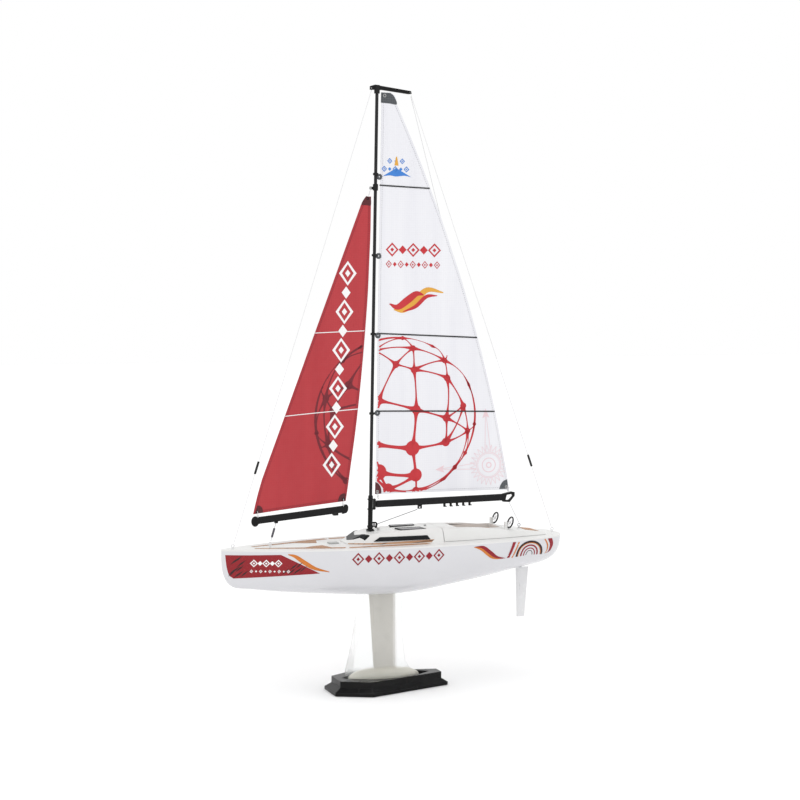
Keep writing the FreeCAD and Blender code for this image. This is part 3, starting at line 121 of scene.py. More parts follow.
def bumpFrom(tree, shader, height, distance, strength=0.5):
    bump = node(tree, "ShaderNodeBump", {"Strength": strength, "Distance": distance})
    tree.links.new(height, bump.inputs["Height"])
    tree.links.new(bump.outputs["Normal"], shader.inputs["Normal"])
    return bump


def wornEdges(tree, colour, edge, amount=0.6):
    geometry = node(tree, "ShaderNodeNewGeometry")
    worn = spread(tree, geometry.outputs["Pointiness"], 0.0, amount, 0.505, 0.57)
    return blendColours(tree, worn, colour, edge)


def mouldedFinish(name, look):
    mat, tree, shader = startMaterial(name)
    vector = boatCoords(tree)
    patch = spread(tree, noiseOn(tree, vector, look.get("patch", 45)), 0.0, 1.0)
    colour = blendColours(tree, patch, look["colour"], look["second"])
    if "edge" in look:
        colour = wornEdges(tree, colour, look["edge"])
    tree.links.new(colour, shader.inputs["Base Color"])
    gloss = noiseOn(tree, vector, look.get("patch", 45) * 4, 5)
    tree.links.new(spread(tree, gloss, *look["rough"]), shader.inputs["Roughness"])
    grain = noiseOn(tree, vector, look.get("grain", 1400), 2)
    bumpFrom(tree, shader, grain, look.get("depth", 0.02) * mm, 0.35)
    shader.inputs["Metallic"].default_value = look.get("metal", 0.0)
    shader.inputs["Coat Weight"].default_value = look.get("coat", 0.0)
    shader.inputs["Coat Roughness"].default_value = 0.06
    shader.inputs["IOR"].default_value = look.get("ior", 1.48)
    shader.inputs["Specular IOR Level"].default_value = look.get("shine", 0.5)
    return mat


finishes = {
    "plinth_black": {"colour": (0.004, 0.004, 0.004), "second": (0.007, 0.007, 0.007), "rough": (0.14, 0.24),
                     "patch": 12, "depth": 0.006, "shine": 0.16},
    "foot_rubber": {"colour": (0.02, 0.02, 0.021), "second": (0.035, 0.035, 0.035), "rough": (0.75, 0.9),
                    "depth": 0.08, "grain": 900, "shine": 0.2},
    "hull_white": {"colour": (0.625, 0.625, 0.650), "second": (0.645, 0.645, 0.668), "rough": (0.16, 0.24),
                   "patch": 18, "coat": 0.2, "depth": 0.012, "grain": 420, "shine": 0.4},
    "deck_white": {"colour": (0.70, 0.70, 0.688), "second": (0.73, 0.73, 0.72), "rough": (0.3, 0.42),
                   "patch": 25, "shine": 0.35},
    "window_dark": {"colour": (0.005, 0.006, 0.007), "second": (0.010, 0.011, 0.013), "rough": (0.08, 0.16),
                    "shine": 0.16},
    "skylight_grey": {"colour": (0.065, 0.06, 0.075), "second": (0.085, 0.08, 0.095), "rough": (0.15, 0.25),
                      "shine": 0.4},
    "fitting_black": {"colour": (0.005, 0.005, 0.005), "second": (0.009, 0.009, 0.009),
                      "rough": (0.36, 0.52), "edge": (0.03, 0.03, 0.03), "depth": 0.03, "shine": 0.14},
    "spar_black": {"colour": (0.004, 0.004, 0.0045), "second": (0.008, 0.008, 0.0085), "rough": (0.24, 0.36),
                   "edge": (0.03, 0.03, 0.031), "shine": 0.12},
    "steel_wire": {"colour": (0.42, 0.43, 0.45), "second": (0.52, 0.52, 0.53), "rough": (0.22, 0.36),
                   "metal": 1.0, "patch": 180},
    "leadGrey": {"colour": (0.36, 0.36, 0.36), "second": (0.42, 0.42, 0.41), "rough": (0.4, 0.5)},
    "fin_grey": {"colour": (0.58, 0.56, 0.52), "second": (0.62, 0.60, 0.56), "rough": (0.25, 0.36),
                 "patch": 20, "shine": 0.4},
    "bulb_cream": {"colour": (0.62, 0.60, 0.53), "second": (0.67, 0.65, 0.58), "rough": (0.3, 0.42),
                   "patch": 70, "depth": 0.05, "grain": 700},
    "servo_blue": {"colour": (0.02, 0.07, 0.25), "second": (0.03, 0.1, 0.32), "rough": (0.3, 0.42),
                   "edge": (0.1, 0.16, 0.36)},
    "arm_white": {"colour": (0.72, 0.72, 0.70), "second": (0.78, 0.78, 0.76), "rough": (0.35, 0.5)},
    "rudder_white": {"colour": (0.68, 0.68, 0.69), "second": (0.72, 0.72, 0.73), "rough": (0.2, 0.3),
                     "patch": 30, "shine": 0.4},
    "stayLight": {"colour": (0.66, 0.66, 0.67), "second": (0.74, 0.74, 0.75), "rough": (0.4, 0.5),
                  "patch": 200},
    "kickerGrey": {"colour": (0.16, 0.16, 0.165), "second": (0.26, 0.26, 0.265), "rough": (0.5, 0.65),
                   "patch": 600},
    "markerBlack": {"colour": (0.012, 0.012, 0.012), "second": (0.02, 0.02, 0.02), "rough": (0.4, 0.55),
                    "shine": 0.2},
}
materials = {name: mouldedFinish(name, look) for name, look in finishes.items()}


teak = {"plank": 2.9, "seam": 0.13, "light": (0.47, 0.25, 0.13), "dark": (0.33, 0.155, 0.075),
        "pale": (0.56, 0.33, 0.19), "caulk": (0.10, 0.05, 0.03)}


def teakFinish():
    mat, tree, shader = startMaterial("teakPlanks")
    split = node(tree, "ShaderNodeSeparateXYZ")
    tree.links.new(boatCoords(tree), split.inputs[0])
    planks = 1 / (teak["plank"] * mm)
    seam = calc(tree, "LESS_THAN", calc(tree, "FRACT", calc(tree, "MULTIPLY", split.outputs["Y"], planks)),
                teak["seam"])
    grain = noiseOn(tree, boatCoords(tree, (30, 900, 900)), 1.0, 6, 0.65)
    tone = noiseOn(tree, boatCoords(tree, (12, planks, 1)), 1.0, 1)
    wood = blendColours(tree, spread(tree, grain, 0, 1), teak["light"], teak["dark"])
    wood = blendColours(tree, spread(tree, tone, 0.0, 0.45), wood, teak["pale"])
    tree.links.new(blendColours(tree, seam, wood, teak["caulk"]), shader.inputs["Base Color"])
    tree.links.new(spread(tree, grain, 0.45, 0.65), shader.inputs["Roughness"])
    bumpFrom(tree, shader, calc(tree, "SUBTRACT", grain, seam), 0.06 * mm, 0.6)
    return mat


def ropeFinish():
    mat, tree, shader = startMaterial("braidedCord")
    vector = boatCoords(tree, turn=(0.5, 0.6, 0.0))
    twist = node(tree, "ShaderNodeTexWave", {"Scale": 700.0, "Distortion": 0.6, "Detail": 1.0},
                 wave_type="BANDS", bands_direction="Z")
    tree.links.new(vector, twist.inputs["Vector"])
    colour = blendColours(tree, twist.outputs["Fac"], (0.56, 0.56, 0.57), (0.70, 0.70, 0.71))
    tree.links.new(colour, shader.inputs["Base Color"])
    tree.links.new(spread(tree, noiseOn(tree, vector, 300), 0.6, 0.8), shader.inputs["Roughness"])
    bumpFrom(tree, shader, twist.outputs["Fac"], 0.08 * mm, 0.7)
    return mat


def clothWeave(tree, shader, look):
    # two crossed thread directions and a coarser ripstop square
    threads = []
    for direction in ("X", "Z"):
        wave = node(tree, "ShaderNodeTexWave", {"Scale": look["thread"], "Distortion": 0.4, "Detail": 1.0},
                    wave_type="BANDS", bands_direction=direction)
        tree.links.new(boatCoords(tree), wave.inputs["Vector"])
        threads.append(wave.outputs["Fac"])
    split = node(tree, "ShaderNodeSeparateXYZ")
    tree.links.new(boatCoords(tree), split.inputs[0])
    squares = []
    for axis in ("X", "Z"):
        part = calc(tree, "FRACT", calc(tree, "MULTIPLY", split.outputs[axis], 1 / (look["square"] * mm)))
        squares.append(calc(tree, "LESS_THAN", part, 0.09))
    rip = calc(tree, "MAXIMUM", squares[0], squares[1])
    crossed = calc(tree, "MULTIPLY", threads[0], threads[1])
    weave = calc(tree, "ADD", crossed, calc(tree, "MULTIPLY", rip, 0.8))
    bumpFrom(tree, shader, weave, look["depth"] * mm, 0.45)
    return rip


def clothFinish(name, look):
    mat, tree, shader = startMaterial(name)
    rip = clothWeave(tree, shader, look)
    # painted shade: long soft bands that run up the sail in the cloth's second colour, standing in for the
    # shade of folds, mostly darker
    foldShade = noiseOn(tree, boatCoords(tree, (38, 1, 3.2)), 1.0, 3, 0.6)
    colour = blendColours(tree, spread(tree, foldShade, 0, 1, 0.35, 0.65), look["colour"], look["second"])
    colour = blendColours(tree, calc(tree, "MULTIPLY", rip, look["ripTone"]), colour, look["rip"])
    tree.links.new(colour, shader.inputs["Base Color"])
    gloss = spread(tree, noiseOn(tree, boatCoords(tree), 120), *look["rough"])
    tree.links.new(gloss, shader.inputs["Roughness"])
    shader.inputs["Sheen Weight"].default_value = look["sheen"]
    shader.inputs["Sheen Roughness"].default_value = 0.4
    shader.inputs["IOR"].default_value = 1.42
    return mat


# cloth: its colour, its painted fold-shade colour (mostly darker) along the soft folds, the ripstop thread's
# colour and how much of it shows
cloths = {
    "sail_white": ((0.785, 0.785, 0.815), (0.735, 0.735, 0.775), (0.64, 0.64, 0.69), 0.35),
    "sail_red": ((0.44, 0.036, 0.044), (0.40, 0.030, 0.038), (0.34, 0.02, 0.03), 0.4),
    "hemWhite": ((0.75, 0.75, 0.78), (0.70, 0.70, 0.74), (0.62, 0.62, 0.67), 0.3),
    "hemRed": ((0.36, 0.025, 0.034), (0.33, 0.022, 0.03), (0.3, 0.015, 0.025), 0.4),
    "printRed": ((0.53, 0.028, 0.036), (0.48, 0.022, 0.03), (0.45, 0.02, 0.03), 0.3),
    "printYellow": ((0.72, 0.37, 0.05), (0.66, 0.33, 0.045), (0.6, 0.3, 0.04), 0.3),
    "printBlue": ((0.05, 0.22, 0.62), (0.04, 0.18, 0.55), (0.03, 0.14, 0.45), 0.3),
    "printPink": ((0.76, 0.56, 0.595), (0.74, 0.58, 0.615), (0.70, 0.50, 0.54), 0.3),
    "printWhite": ((0.84, 0.83, 0.83), (0.80, 0.79, 0.79), (0.74, 0.72, 0.72), 0.3),
    "printShadow": ((0.17, 0.014, 0.024), (0.14, 0.012, 0.02), (0.13, 0.011, 0.017), 0.3),
    "patchMaroon": ((0.085, 0.010, 0.014), (0.065, 0.008, 0.011), (0.13, 0.03, 0.035), 0.6),
    "patchGrey": ((0.075, 0.082, 0.09), (0.055, 0.06, 0.066), (0.16, 0.17, 0.18), 0.6),
    "battenBlack": ((0.012, 0.012, 0.013), (0.018, 0.018, 0.019), (0.04, 0.04, 0.04), 0.3),
}
weaveLook = {"thread": 420, "square": 2.6, "depth": 0.02, "rough": (0.5, 0.66), "sheen": 0.15}
for name, (colour, second, rip, ripTone) in cloths.items():
    look = {**weaveLook, "colour": colour, "second": second, "rip": rip, "ripTone": ripTone}
    materials[name] = clothFinish(name, look)
materials["teak_print"] = teakFinish()
materials["rope_white"] = ropeFinish()


def clearSheet():
    mat, tree, shader = startMaterial("clearPanel")
    haze = noiseOn(tree, boatCoords(tree), 60, 3)
    tree.links.new(blendColours(tree, spread(tree, haze, 0, 1), (0.97, 0.985, 0.98), (0.95, 0.97, 0.965)),
                   shader.inputs["Base Color"])
    tree.links.new(spread(tree, haze, 0.015, 0.05), shader.inputs["Roughness"])
    bumpFrom(tree, shader, noiseOn(tree, boatCoords(tree), 25, 2), 0.03 * mm, 0.3)
    shader.inputs["Transmission Weight"].default_value = 1.0
    shader.inputs["IOR"].default_value = 1.3
    shader.inputs["Alpha"].default_value = 0.4
    return mat


cell = {"green": (0.05, 0.26, 0.09), "grey": (0.62, 0.62, 0.6), "greyFrom": -22.0}


def cellWrap():
    mat, tree, shader = startMaterial("cellWrap")
    split = node(tree, "ShaderNodeSeparateXYZ")
    tree.links.new(boatCoords(tree), split.inputs[0])
    band = calc(tree, "GREATER_THAN", split.outputs["X"], cell["greyFrom"] * mm)
    colour = blendColours(tree, band, cell["green"], cell["grey"])
    grime = spread(tree, noiseOn(tree, boatCoords(tree), 90), 0, 0.2)
    colour = blendColours(tree, grime, colour, (0.1, 0.1, 0.1))
    tree.links.new(colour, shader.inputs["Base Color"])
    tree.links.new(spread(tree, noiseOn(tree, boatCoords(tree), 200), 0.2, 0.35), shader.inputs["Roughness"])
    return mat


def circuitBoard():
    mat, tree, shader = startMaterial("circuitBoard")
    tracks = node(tree, "ShaderNodeTexBrick", {"Scale": 260.0, "Mortar Size": 0.03})
    tracks.inputs["Color1"].default_value = (0.01, 0.11, 0.04, 1)
    tracks.inputs["Color2"].default_value = (0.012, 0.15, 0.05, 1)
    tracks.inputs["Mortar"].default_value = (0.25, 0.3, 0.12, 1)
    tree.links.new(boatCoords(tree), tracks.inputs["Vector"])
    tree.links.new(tracks.outputs["Color"], shader.inputs["Base Color"])
    gloss = spread(tree, noiseOn(tree, boatCoords(tree), 300), 0.25, 0.45)
    tree.links.new(gloss, shader.inputs["Roughness"])
    return mat


materials["panel_clear"] = clearSheet()
materials["cell_jacket"] = cellWrap()
materials["board_green"] = circuitBoard()
# printed film on the hull: a touch of screen grain under the same gloss as the moulding
filmLook = {"rough": (0.2, 0.3), "coat": 0.1, "patch": 120, "depth": 0.01, "shine": 0.3}
inks = {
    "inkDarkRed": ((0.27, 0.008, 0.014), (0.245, 0.007, 0.013)),
    "inkBlack": ((0.030, 0.008, 0.010), (0.022, 0.008, 0.009)),
    "inkOrange": ((0.52, 0.15, 0.020), (0.60, 0.19, 0.03)),
    "inkWhite": ((0.82, 0.82, 0.82), (0.86, 0.86, 0.86)),
    "inkRed": ((0.27, 0.008, 0.018), (0.24, 0.007, 0.016)),
}
for name, (colour, second) in inks.items():
    materials[name] = mouldedFinish(name, {**filmLook, "colour": colour, "second": second})

for name, item in nodes.items():
    slotName = next(s["material_slot"] for s in frame["record"]["subparts"] if s["node"] == name)
    for index in range(len(item.material_slots)):
        item.material_slots[index].material = materials[slotName]
ownFinish = {"sheet_fairleads": "leadGrey", "foredeck_vent": "leadGrey", "forestay": "stayLight",
             "backstay": "stayLight", "rigging_eyes": "stayLight", "kicker_line": "kickerGrey"}
for name, finish in ownFinish.items():
    nodes[name].material_slots[0].material = materials[finish]
print("materials made:", len(materials))


# moulded edges: the hard pieces get a small radius, as they leave the tool

edgeRadii = {
    0.08: ("teak_deck_inlays", "aft_deck_teak"),
    0.12: ("coachroof_windows", "skylights"),
    0.15: ("mast_sleeve", "radio_receiver", "cockpit_sole"),
    0.2: ("main_boom", "jib_boom", "gooseneck_bracket", "jib_hoist_band", "rudder_tiller",
          "rudder_servo_horn", "sheeting_arm", "power_switch_case", "power_switch_slider",
          "sheet_fairleads", "keel_trunk", "keel_bolt_and_nut"),
    0.25: ("stand_panel_port", "stand_panel_starboard", "boom_hooks", "stand_rubber_feet"),
    0.3: ("luff_rings", "rudder_blade", "keel_fin", "steering_servo", "sail_winch_servo", "battery_tray"),
    0.35: ("deck_moulding", "masthead_crane", "jib_boom_end", "foredeck_vent"),
    0.4: ("cockpit_cover", "boom_end_fitting", "battery_cells"),
    0.7: ("stand_plinth",),
}
rounding = {"segments": 3, "sharpest": 32, "joinWithin": 0.002}
for radius, names in edgeRadii.items():
    for name in names:
        joined = nodes[name].modifiers.new("joinSeams", "WELD")
        joined.merge_threshold = rounding["joinWithin"] * mm
        rounded = nodes[name].modifiers.new("mouldedEdges", "BEVEL")
        rounded.width = radius * mm
        rounded.segments = rounding["segments"]
        rounded.limit_method = "ANGLE"
        rounded.angle_limit = math.radians(rounding["sharpest"])
        rounded.use_clamp_overlap = True
        rounded.harden_normals = True
print("edges rounded on", sum(len(names) for names in edgeRadii.values()), "pieces")


# helpers for the pieces made here

def placed(name, data):
    item = bpy.data.objects.new(name, data)
    bpy.context.scene.collection.objects.link(item)
    return item


def meshOf(name, points, faces, material, smooth=True):
    # points in millimetres
    mesh = bpy.data.meshes.new(name)
    mesh.from_pydata([Vector(p) * mm for p in points], [], faces)
    mesh.validate()
    for polygon in mesh.polygons:
        polygon.use_smooth = smooth
    mesh.materials.append(material)
    return mesh


def piece(name, points, faces, material, body, slotName, smooth=True):
    item = placed(name, meshOf(name, points, faces, materials[material], smooth))
    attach(item, body)
    return item


def thicken(item, thickness, offset=0.0):
    layer = item.modifiers.new("thickness", "SOLIDIFY")
    layer.thickness = thickness * mm
    layer.offset = offset


def merged(parts):
    # parts is a list of (points, faces); gives one list of each
    points, faces = [], []
    for somePoints, someFaces in parts:
        start = len(points)
        points += list(somePoints)
        faces += [tuple(i + start for i in face) for face in someFaces]
    return points, faces


def tubeAlong(path, radius, sides=10, closed=False, taper=None):
    path = [Vector(p) for p in path]
    count = len(path)
    points, faces = [], []
    side = None
    for i, place in enumerate(path):
        ahead = path[(i + 1) % count] if closed or i < count - 1 else place
        behind = path[i - 1] if closed or i > 0 else place
        way = (ahead - behind).normalized()
        if side is None:
            side = way.orthogonal().normalized()
        side = (side - way * side.dot(way)).normalized()
        other = way.cross(side)
        r = radius * (taper[i] if taper else 1)
        for k in range(sides):
            angle = 2 * math.pi * k / sides
            points.append(place + side * (r * math.cos(angle)) + other * (r * math.sin(angle)))
    rings = count if closed else count - 1
    for i in range(rings):
        for k in range(sides):
            a, b = i * sides + k, i * sides + (k + 1) % sides
            c, d = ((i + 1) % count) * sides + (k + 1) % sides, ((i + 1) % count) * sides + k
            faces.append((a, b, c, d))
    if not closed:
        faces.append(tuple(reversed(range(sides))))
        faces.append(tuple(range((count - 1) * sides, count * sides)))
    return points, faces


def loopPath(centre, normal, radius, count=20, stretch=1.0, along=(0, 0, 1)):
    # points of a ring about normal, drawn out along one direction
    centre, normal = Vector(centre), Vector(normal).normalized()
    up = Vector(along)
    up = (up - normal * up.dot(normal)).normalized()
    side = normal.cross(up)
    path = []
    for i in range(count):
        angle = 2 * math.pi * i / count
        path.append(centre + up * (radius * stretch * math.cos(angle)) + side * (radius * math.sin(angle)))
    return path


def turned(profile, centre, axis, sides=24):
    # a solid of revolution: profile is (radius, height) pairs along axis
    centre, axis = Vector(centre), Vector(axis).normalized()
    side = axis.orthogonal().normalized()
    other = axis.cross(side)
    points, faces = [], []
    for radius, height in profile:
        for k in range(sides):
            angle = 2 * math.pi * k / sides
            out = side * (radius * math.cos(angle)) + other * (radius * math.sin(angle))
            points.append(centre + axis * height + out)
    for i in range(len(profile) - 1):
        for k in range(sides):
            n = (k + 1) % sides
            faces.append((i * sides + k, i * sides + n, (i + 1) * sides + n, (i + 1) * sides + k))
    return points, faces


def curveThrough(points, steps=8):
    # a smooth line through the given points
    points = [Vector(p) for p in points]
    ends = [points[0] * 2 - points[1]] + points + [points[-1] * 2 - points[-2]]
    line = []
    for i in range(1, len(ends) - 2):
        a, b, c, d = ends[i - 1:i + 3]
        for k in range(steps):
            t = k / steps
            line.append(0.5 * (2 * b + (c - a) * t + (2 * a - 5 * b + 4 * c - d) * t * t
                               + (3 * b - a - 3 * c + d) * t ** 3))
    return line + [points[-1]]


# flat art: shapes drawn in side view (station, height) and then laid on a sail or on the hull

def bandBetween(first, second, rows=1):
    points, faces = [], []
    columns = len(first)
    for row in range(rows + 1):
        t = row / rows
        points += [(a[0] + (b[0] - a[0]) * t, a[1] + (b[1] - a[1]) * t) for a, b in zip(first, second)]
    for row in range(rows):
        for i in range(columns - 1):
            k = row * columns + i
            faces.append((k, k + 1, k + columns + 1, k + columns))
    return points, faces


def lineOf(start, end, steps=6):
    return [(start[0] + (end[0] - start[0]) * i / steps, start[1] + (end[1] - start[1]) * i / steps)
            for i in range(steps + 1)]


def cordShape(path, widths, rows=1):
    # a line drawn with its own width at every point
    left, right = [], []
    last = len(path) - 1
    for i, place in enumerate(path):
        way = (Vector(path[min(i + 1, last)]) - Vector(path[max(i - 1, 0)])).normalized()
        wide = widths[i] / 2
        left.append((place[0] - way.y * wide, place[1] + way.x * wide))
        right.append((place[0] + way.y * wide, place[1] - way.x * wide))
    return bandBetween(left, right, rows)


def strokeShape(path, width, taper=True):
    last = len(path) - 1
    widths = [width * (0.15 + 0.85 * math.sin(math.pi * i / last) if taper else 1) for i in range(last + 1)]
    return cordShape(path, widths)


def flatCurve(places, steps):
    return [tuple(spot) for spot in curveThrough(places, steps)]


def circleOf(centre, radius, sides=28):
    turns = [2 * math.pi * i / sides for i in range(sides + 1)]
    return [(centre[0] + radius * math.cos(turn), centre[1] + radius * math.sin(turn)) for turn in turns]


def ringShape(centre, outer, inner, sides=28):
    return bandBetween(circleOf(centre, outer, sides), circleOf(centre, inner, sides))


def quadShape(corners, steps=5, rows=3):
    a, b, c, d = corners
    return bandBetween(lineOf(a, b, steps), lineOf(d, c, steps), rows)


def lozenge(centre, wide, tall, thick):
    x, z = centre
    corners = [(x - wide / 2, z), (x, z + tall / 2), (x + wide / 2, z), (x, z - tall / 2)]
    outline = [spot for a, b in zip(corners, corners[1:] + corners[:1]) for spot in lineOf(a, b, 4)[:-1]]
    outline.append(corners[0])
    inner = [(x + (a - x) * (1 - 2 * thick / wide), z + (b - z) * (1 - 2 * thick / tall))
             for a, b in outline]
    return bandBetween(outline, inner)


def lozengeRow(count, start, pitch, rise, wide, tall, thick, between=0.62, within=0.3):
    # plain ornament: open lozenges with a small solid one inside, parted by solid ones
    shapes = []
    for k in range(count):
        centre = (start[0] + pitch * k, start[1] + rise * k)
        share = between
        if k % 2 == 0:
            shapes.append(lozenge(centre, wide, tall, thick))
            share = within
        shapes.append(lozenge(centre, wide * share, tall * share, wide * share * 0.499))
    return shapes


def rayRing(centre, count, outer, inner, wide, turn=0.0):
    # a ring of thin pointed rays, each drawn as two lines that meet at its tip
    shapes = []
    for k in range(count):
        angle = math.radians(turn + 360 * k / count)
        tip = (centre[0] + outer * math.cos(angle), centre[1] + outer * math.sin(angle))
        for side in (-1, 1):
            hip = angle + side * math.pi / count * 0.9
            root = (centre[0] + inner * math.cos(hip), centre[1] + inner * math.sin(hip))
            shapes.append(strokeShape(lineOf(root, tip, 5), wide, False))
    return shapes


def layOn(name, shapes, surface, lift, material, body, slotName, sides=(1, -1)):
    points, faces = [], []
    for side in sides:
        for shapePoints, shapeFaces in shapes:
            spots = [surface(p, side, lift) for p in shapePoints]
            start = len(points)
            points += [s if s is not None else Vector((0, 0, 0)) for s in spots]
            for face in shapeFaces:
                if any(spots[i] is None for i in face):
                    continue
                across = (spots[face[2]] - spots[face[0]]).cross(spots[face[3]] - spots[face[1]])
                order = face if across.y * side > 0 else tuple(reversed(face))
                faces.append(tuple(i + start for i in order))
    used = sorted({i for face in faces for i in face})
    renumber = {old: new for new, old in enumerate(used)}
    return piece(name, [points[i] for i in used], [tuple(renumber[i] for i in face) for face in faces],
                 material, body, slotName)


# mainsail: cut flat with a round leech, then bellied a little to starboard

rig = {"mastStation": 29.7, "mastFoot": 178.7, "rake": math.radians(0.73)}
mainCut = {"luff": -5.4, "tack": 40.8, "clewReach": -169.0, "clew": 41.7, "head": 483.0, "headReach": -16.0,
           "shoulderReach": -23.6, "shoulder": 470.8, "roach": 15.6, "belly": 0.024, "thickness": 0.3,
           "rows": 150, "columns": 52, "span": 442, "luffRun": 441, "leechRun": 428, "footRun": 163.6}
# how a sail bellies: how far forward, how much at its ends, and the ripple that runs up the leech
bellyLook = {"forward": 0.8, "ends": 0.78, "ripple": 0.28, "wave": 15, "wander": 47, "wanderBy": 1.7}


def rigSpot(reach, height, y=0.0):
    c, s = math.cos(rig["rake"]), math.sin(rig["rake"])
    return Vector((rig["mastStation"] + reach * c - height * s, y, rig["mastFoot"] + reach * s + height * c))


def rigFlat(x, z):
    c, s = math.cos(rig["rake"]), math.sin(rig["rake"])
    dx, dz = x - rig["mastStation"], z - rig["mastFoot"]
    return dx * c + dz * s, dz * c - dx * s


def mainLeech(height):
    cut = mainCut
    if height > cut["shoulder"]:
        t = min((height - cut["shoulder"]) / (cut["head"] - cut["shoulder"]), 1)
        turn = 1 - math.sqrt(1 - t * t * 0.999)
        return cut["shoulderReach"] + (cut["headReach"] - cut["shoulderReach"]) * turn
    t = (height - cut["clew"]) / (cut["shoulder"] - cut["clew"])
    t = max(t, 0)
    straight = cut["clewReach"] + (cut["shoulderReach"] - cut["clewReach"]) * t
    return straight - 4 * cut["roach"] * t * (1 - t) / 0.947


def bellied(share, chord, height, belly, span):
    # deepest a third of the way back from the luff, with a light ripple towards the leech
    look = bellyLook
    deep = math.sin(math.pi * min(max(share, 0), 1) ** look["forward"]) * belly * chord
    rise = look["ends"] + (1 - look["ends"]) * math.sin(math.pi * min(max(height / span, 0), 1))
    phase = height / look["wave"] + look["wanderBy"] * math.sin(height / look["wander"])
    return -deep * rise + look["ripple"] * share * share * math.sin(phase)


def mainDepth(x, z):
    reach, height = rigFlat(x, z)
    leech = mainLeech(min(height, mainCut["head"]))
    share = (mainCut["luff"] - reach) / (mainCut["luff"] - leech)
    return bellied(share, mainCut["luff"] - leech, height - mainCut["tack"], mainCut["belly"],
                   mainCut["span"])


def onMain(point, side, lift):
    return Vector((point[0], mainDepth(*point) + side * lift, point[1]))


def insideMain(point, edge=1.0):
    reach, height = rigFlat(*point)
    if not mainCut["tack"] + edge < height < mainCut["head"] - edge:
        return False
    return mainLeech(height) + edge < reach < mainCut["luff"] - edge


def clothSheet(name, spotAt, cut, material, body):
    rows, columns = cut["rows"], cut["columns"]
    points = [spotAt(i / columns, j / rows) for j in range(rows + 1) for i in range(columns + 1)]
    wide = columns + 1
    faces = [(j * wide + i, j * wide + i + 1, (j + 1) * wide + i + 1, (j + 1) * wide + i)
             for j in range(rows) for i in range(columns)]
    cloth = piece(name, points, faces, material, body, material)
    thicken(cloth, cut["thickness"])
    return cloth


def mainSpot(u, v):
    v = v * (1.18 - 0.18 * v)  # rows draw together at the rounded head
    foot = mainCut["tack"] + (mainCut["clew"] - mainCut["tack"]) * u
    height = foot + (mainCut["head"] - foot) * v
    reach = mainCut["luff"] + (mainLeech(height) - mainCut["luff"]) * u
    spot = rigSpot(reach, height)
    spot.y = mainDepth(spot.x, spot.z)
    return spot


mainCloth = clothSheet("mainsail_cloth", mainSpot, mainCut, "sail_white", "main_boom")
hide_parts("mainsail")


def rigPath(places):
    return [tuple(rigSpot(reach, height).xz) for reach, height in places]


def mainEdge(inset, steps=110):
    # luff, leech and foot lines, each a little inside the cut edge
    cut = mainCut
    shares = [i / steps for i in range(steps + 1)]
    heights = [cut["clew"] + cut["leechRun"] * share for share in shares]
    luff = rigPath([(cut["luff"] - inset, cut["tack"] + cut["luffRun"] * share) for share in shares])
    leech = rigPath([(mainLeech(height) + inset, height) for height in heights])
    foot = rigPath([(cut["luff"] - cut["footRun"] * share, cut["tack"] + inset + share) for share in shares])
    return luff, leech, foot


hem = {"width": 3.2, "lift": 0.22, "stitch": 1.1, "gap": 2.4, "thread": 0.22}
mainHems = layOn("mainsail_hems",
                 [bandBetween(a, b) for a, b in zip(mainEdge(0.05), mainEdge(hem["width"]))],
                 onMain, hem["lift"], "hemWhite", "main_boom", "sail_white")


def stitchesAlong(path, look):
    shapes, walked = [], 0.0
    for a, b in zip(path, path[1:]):
        a, b = Vector(a), Vector(b)
        length = (b - a).length
        while walked < length:
            start = a.lerp(b, walked / length)
            way = (b - a).normalized()
            end = start + way * look["stitch"]
            out = Vector((-way.y, way.x)) * look["thread"] / 2
            shapes.append(([tuple(start + out), tuple(end + out), tuple(end - out), tuple(start - out)],
                           [(0, 1, 2, 3)]))
            walked += look["gap"]
        walked -= length
    return shapes


mainStitches = layOn("mainsail_stitching",
                     [s for path in mainEdge(hem["width"] - 0.6) for s in stitchesAlong(path, hem)],
                     onMain, hem["lift"] + 0.06, "patchGrey", "main_boom", "sail_white")

battenLook = {"heights": ((382, 380.6), (219.4, 215.4), (133.4, 131.6)), "wide": 1.5, "lift": 0.42,
              "thickness": 0.18}


def battenShapes():
    shapes = []
    for fore, aft in battenLook["heights"]:
        start = rigSpot(mainCut["luff"] + 0.6, fore)
        end = rigSpot(mainLeech(aft) + 0.9, aft)
        shapes.append(strokeShape(lineOf(tuple(start.xz), tuple(end.xz), 40), battenLook["wide"], False))
    return shapes


battenTapes = layOn("batten_tapes", battenShapes(), onMain, battenLook["lift"], "battenBlack", "main_boom",
                    "spar_black")
thicken(battenTapes, battenLook["thickness"])
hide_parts("battens")

# corner patches: layered cloth, port and starboard
patchLook = {"lift": 0.36, "rows": 5}


def fanPatch(corner, ends, steps=8):
    # a patch that spreads from a corner to a curved outer edge
    outer = flatCurve(ends, steps)
    return bandBetween(outer, [corner] * len(outer), patchLook["rows"])


def patchSet(name, patches, surface, material, body, slotName):
    return layOn(name, [fanPatch(corner, ends) for corner, ends in patches], surface, patchLook["lift"],
                 material, body, slotName)


mainDarkPatches = patchSet("mainsail_grey_patches", [
    ((-138.6, 219.4), [(-127.5, 219.2), (-128.9, 223.6), (-132.0, 228.0), (-136.8, 230.4)]),
    ((18.6, 661.3), [(8.0, 661.2), (3.6, 657.8), (0.2, 649.4), (9.0, 649.8), (18.9, 650.3)]),
], onMain, "patchGrey", "main_boom", "sail_white")
mainTackPatch = patchSet("mainsail_tack_patch", [
    ((24.0, 219.9), [(23.7, 233.3), (20.2, 231.4), (17.6, 228.2), (16.4, 224.2), (16.4, 219.9)]),
], onMain, "patchMaroon", "main_boom", "sail_white")


eyeletLook = {"proud": 0.42, "throat": 0.5, "boreShare": 0.66}


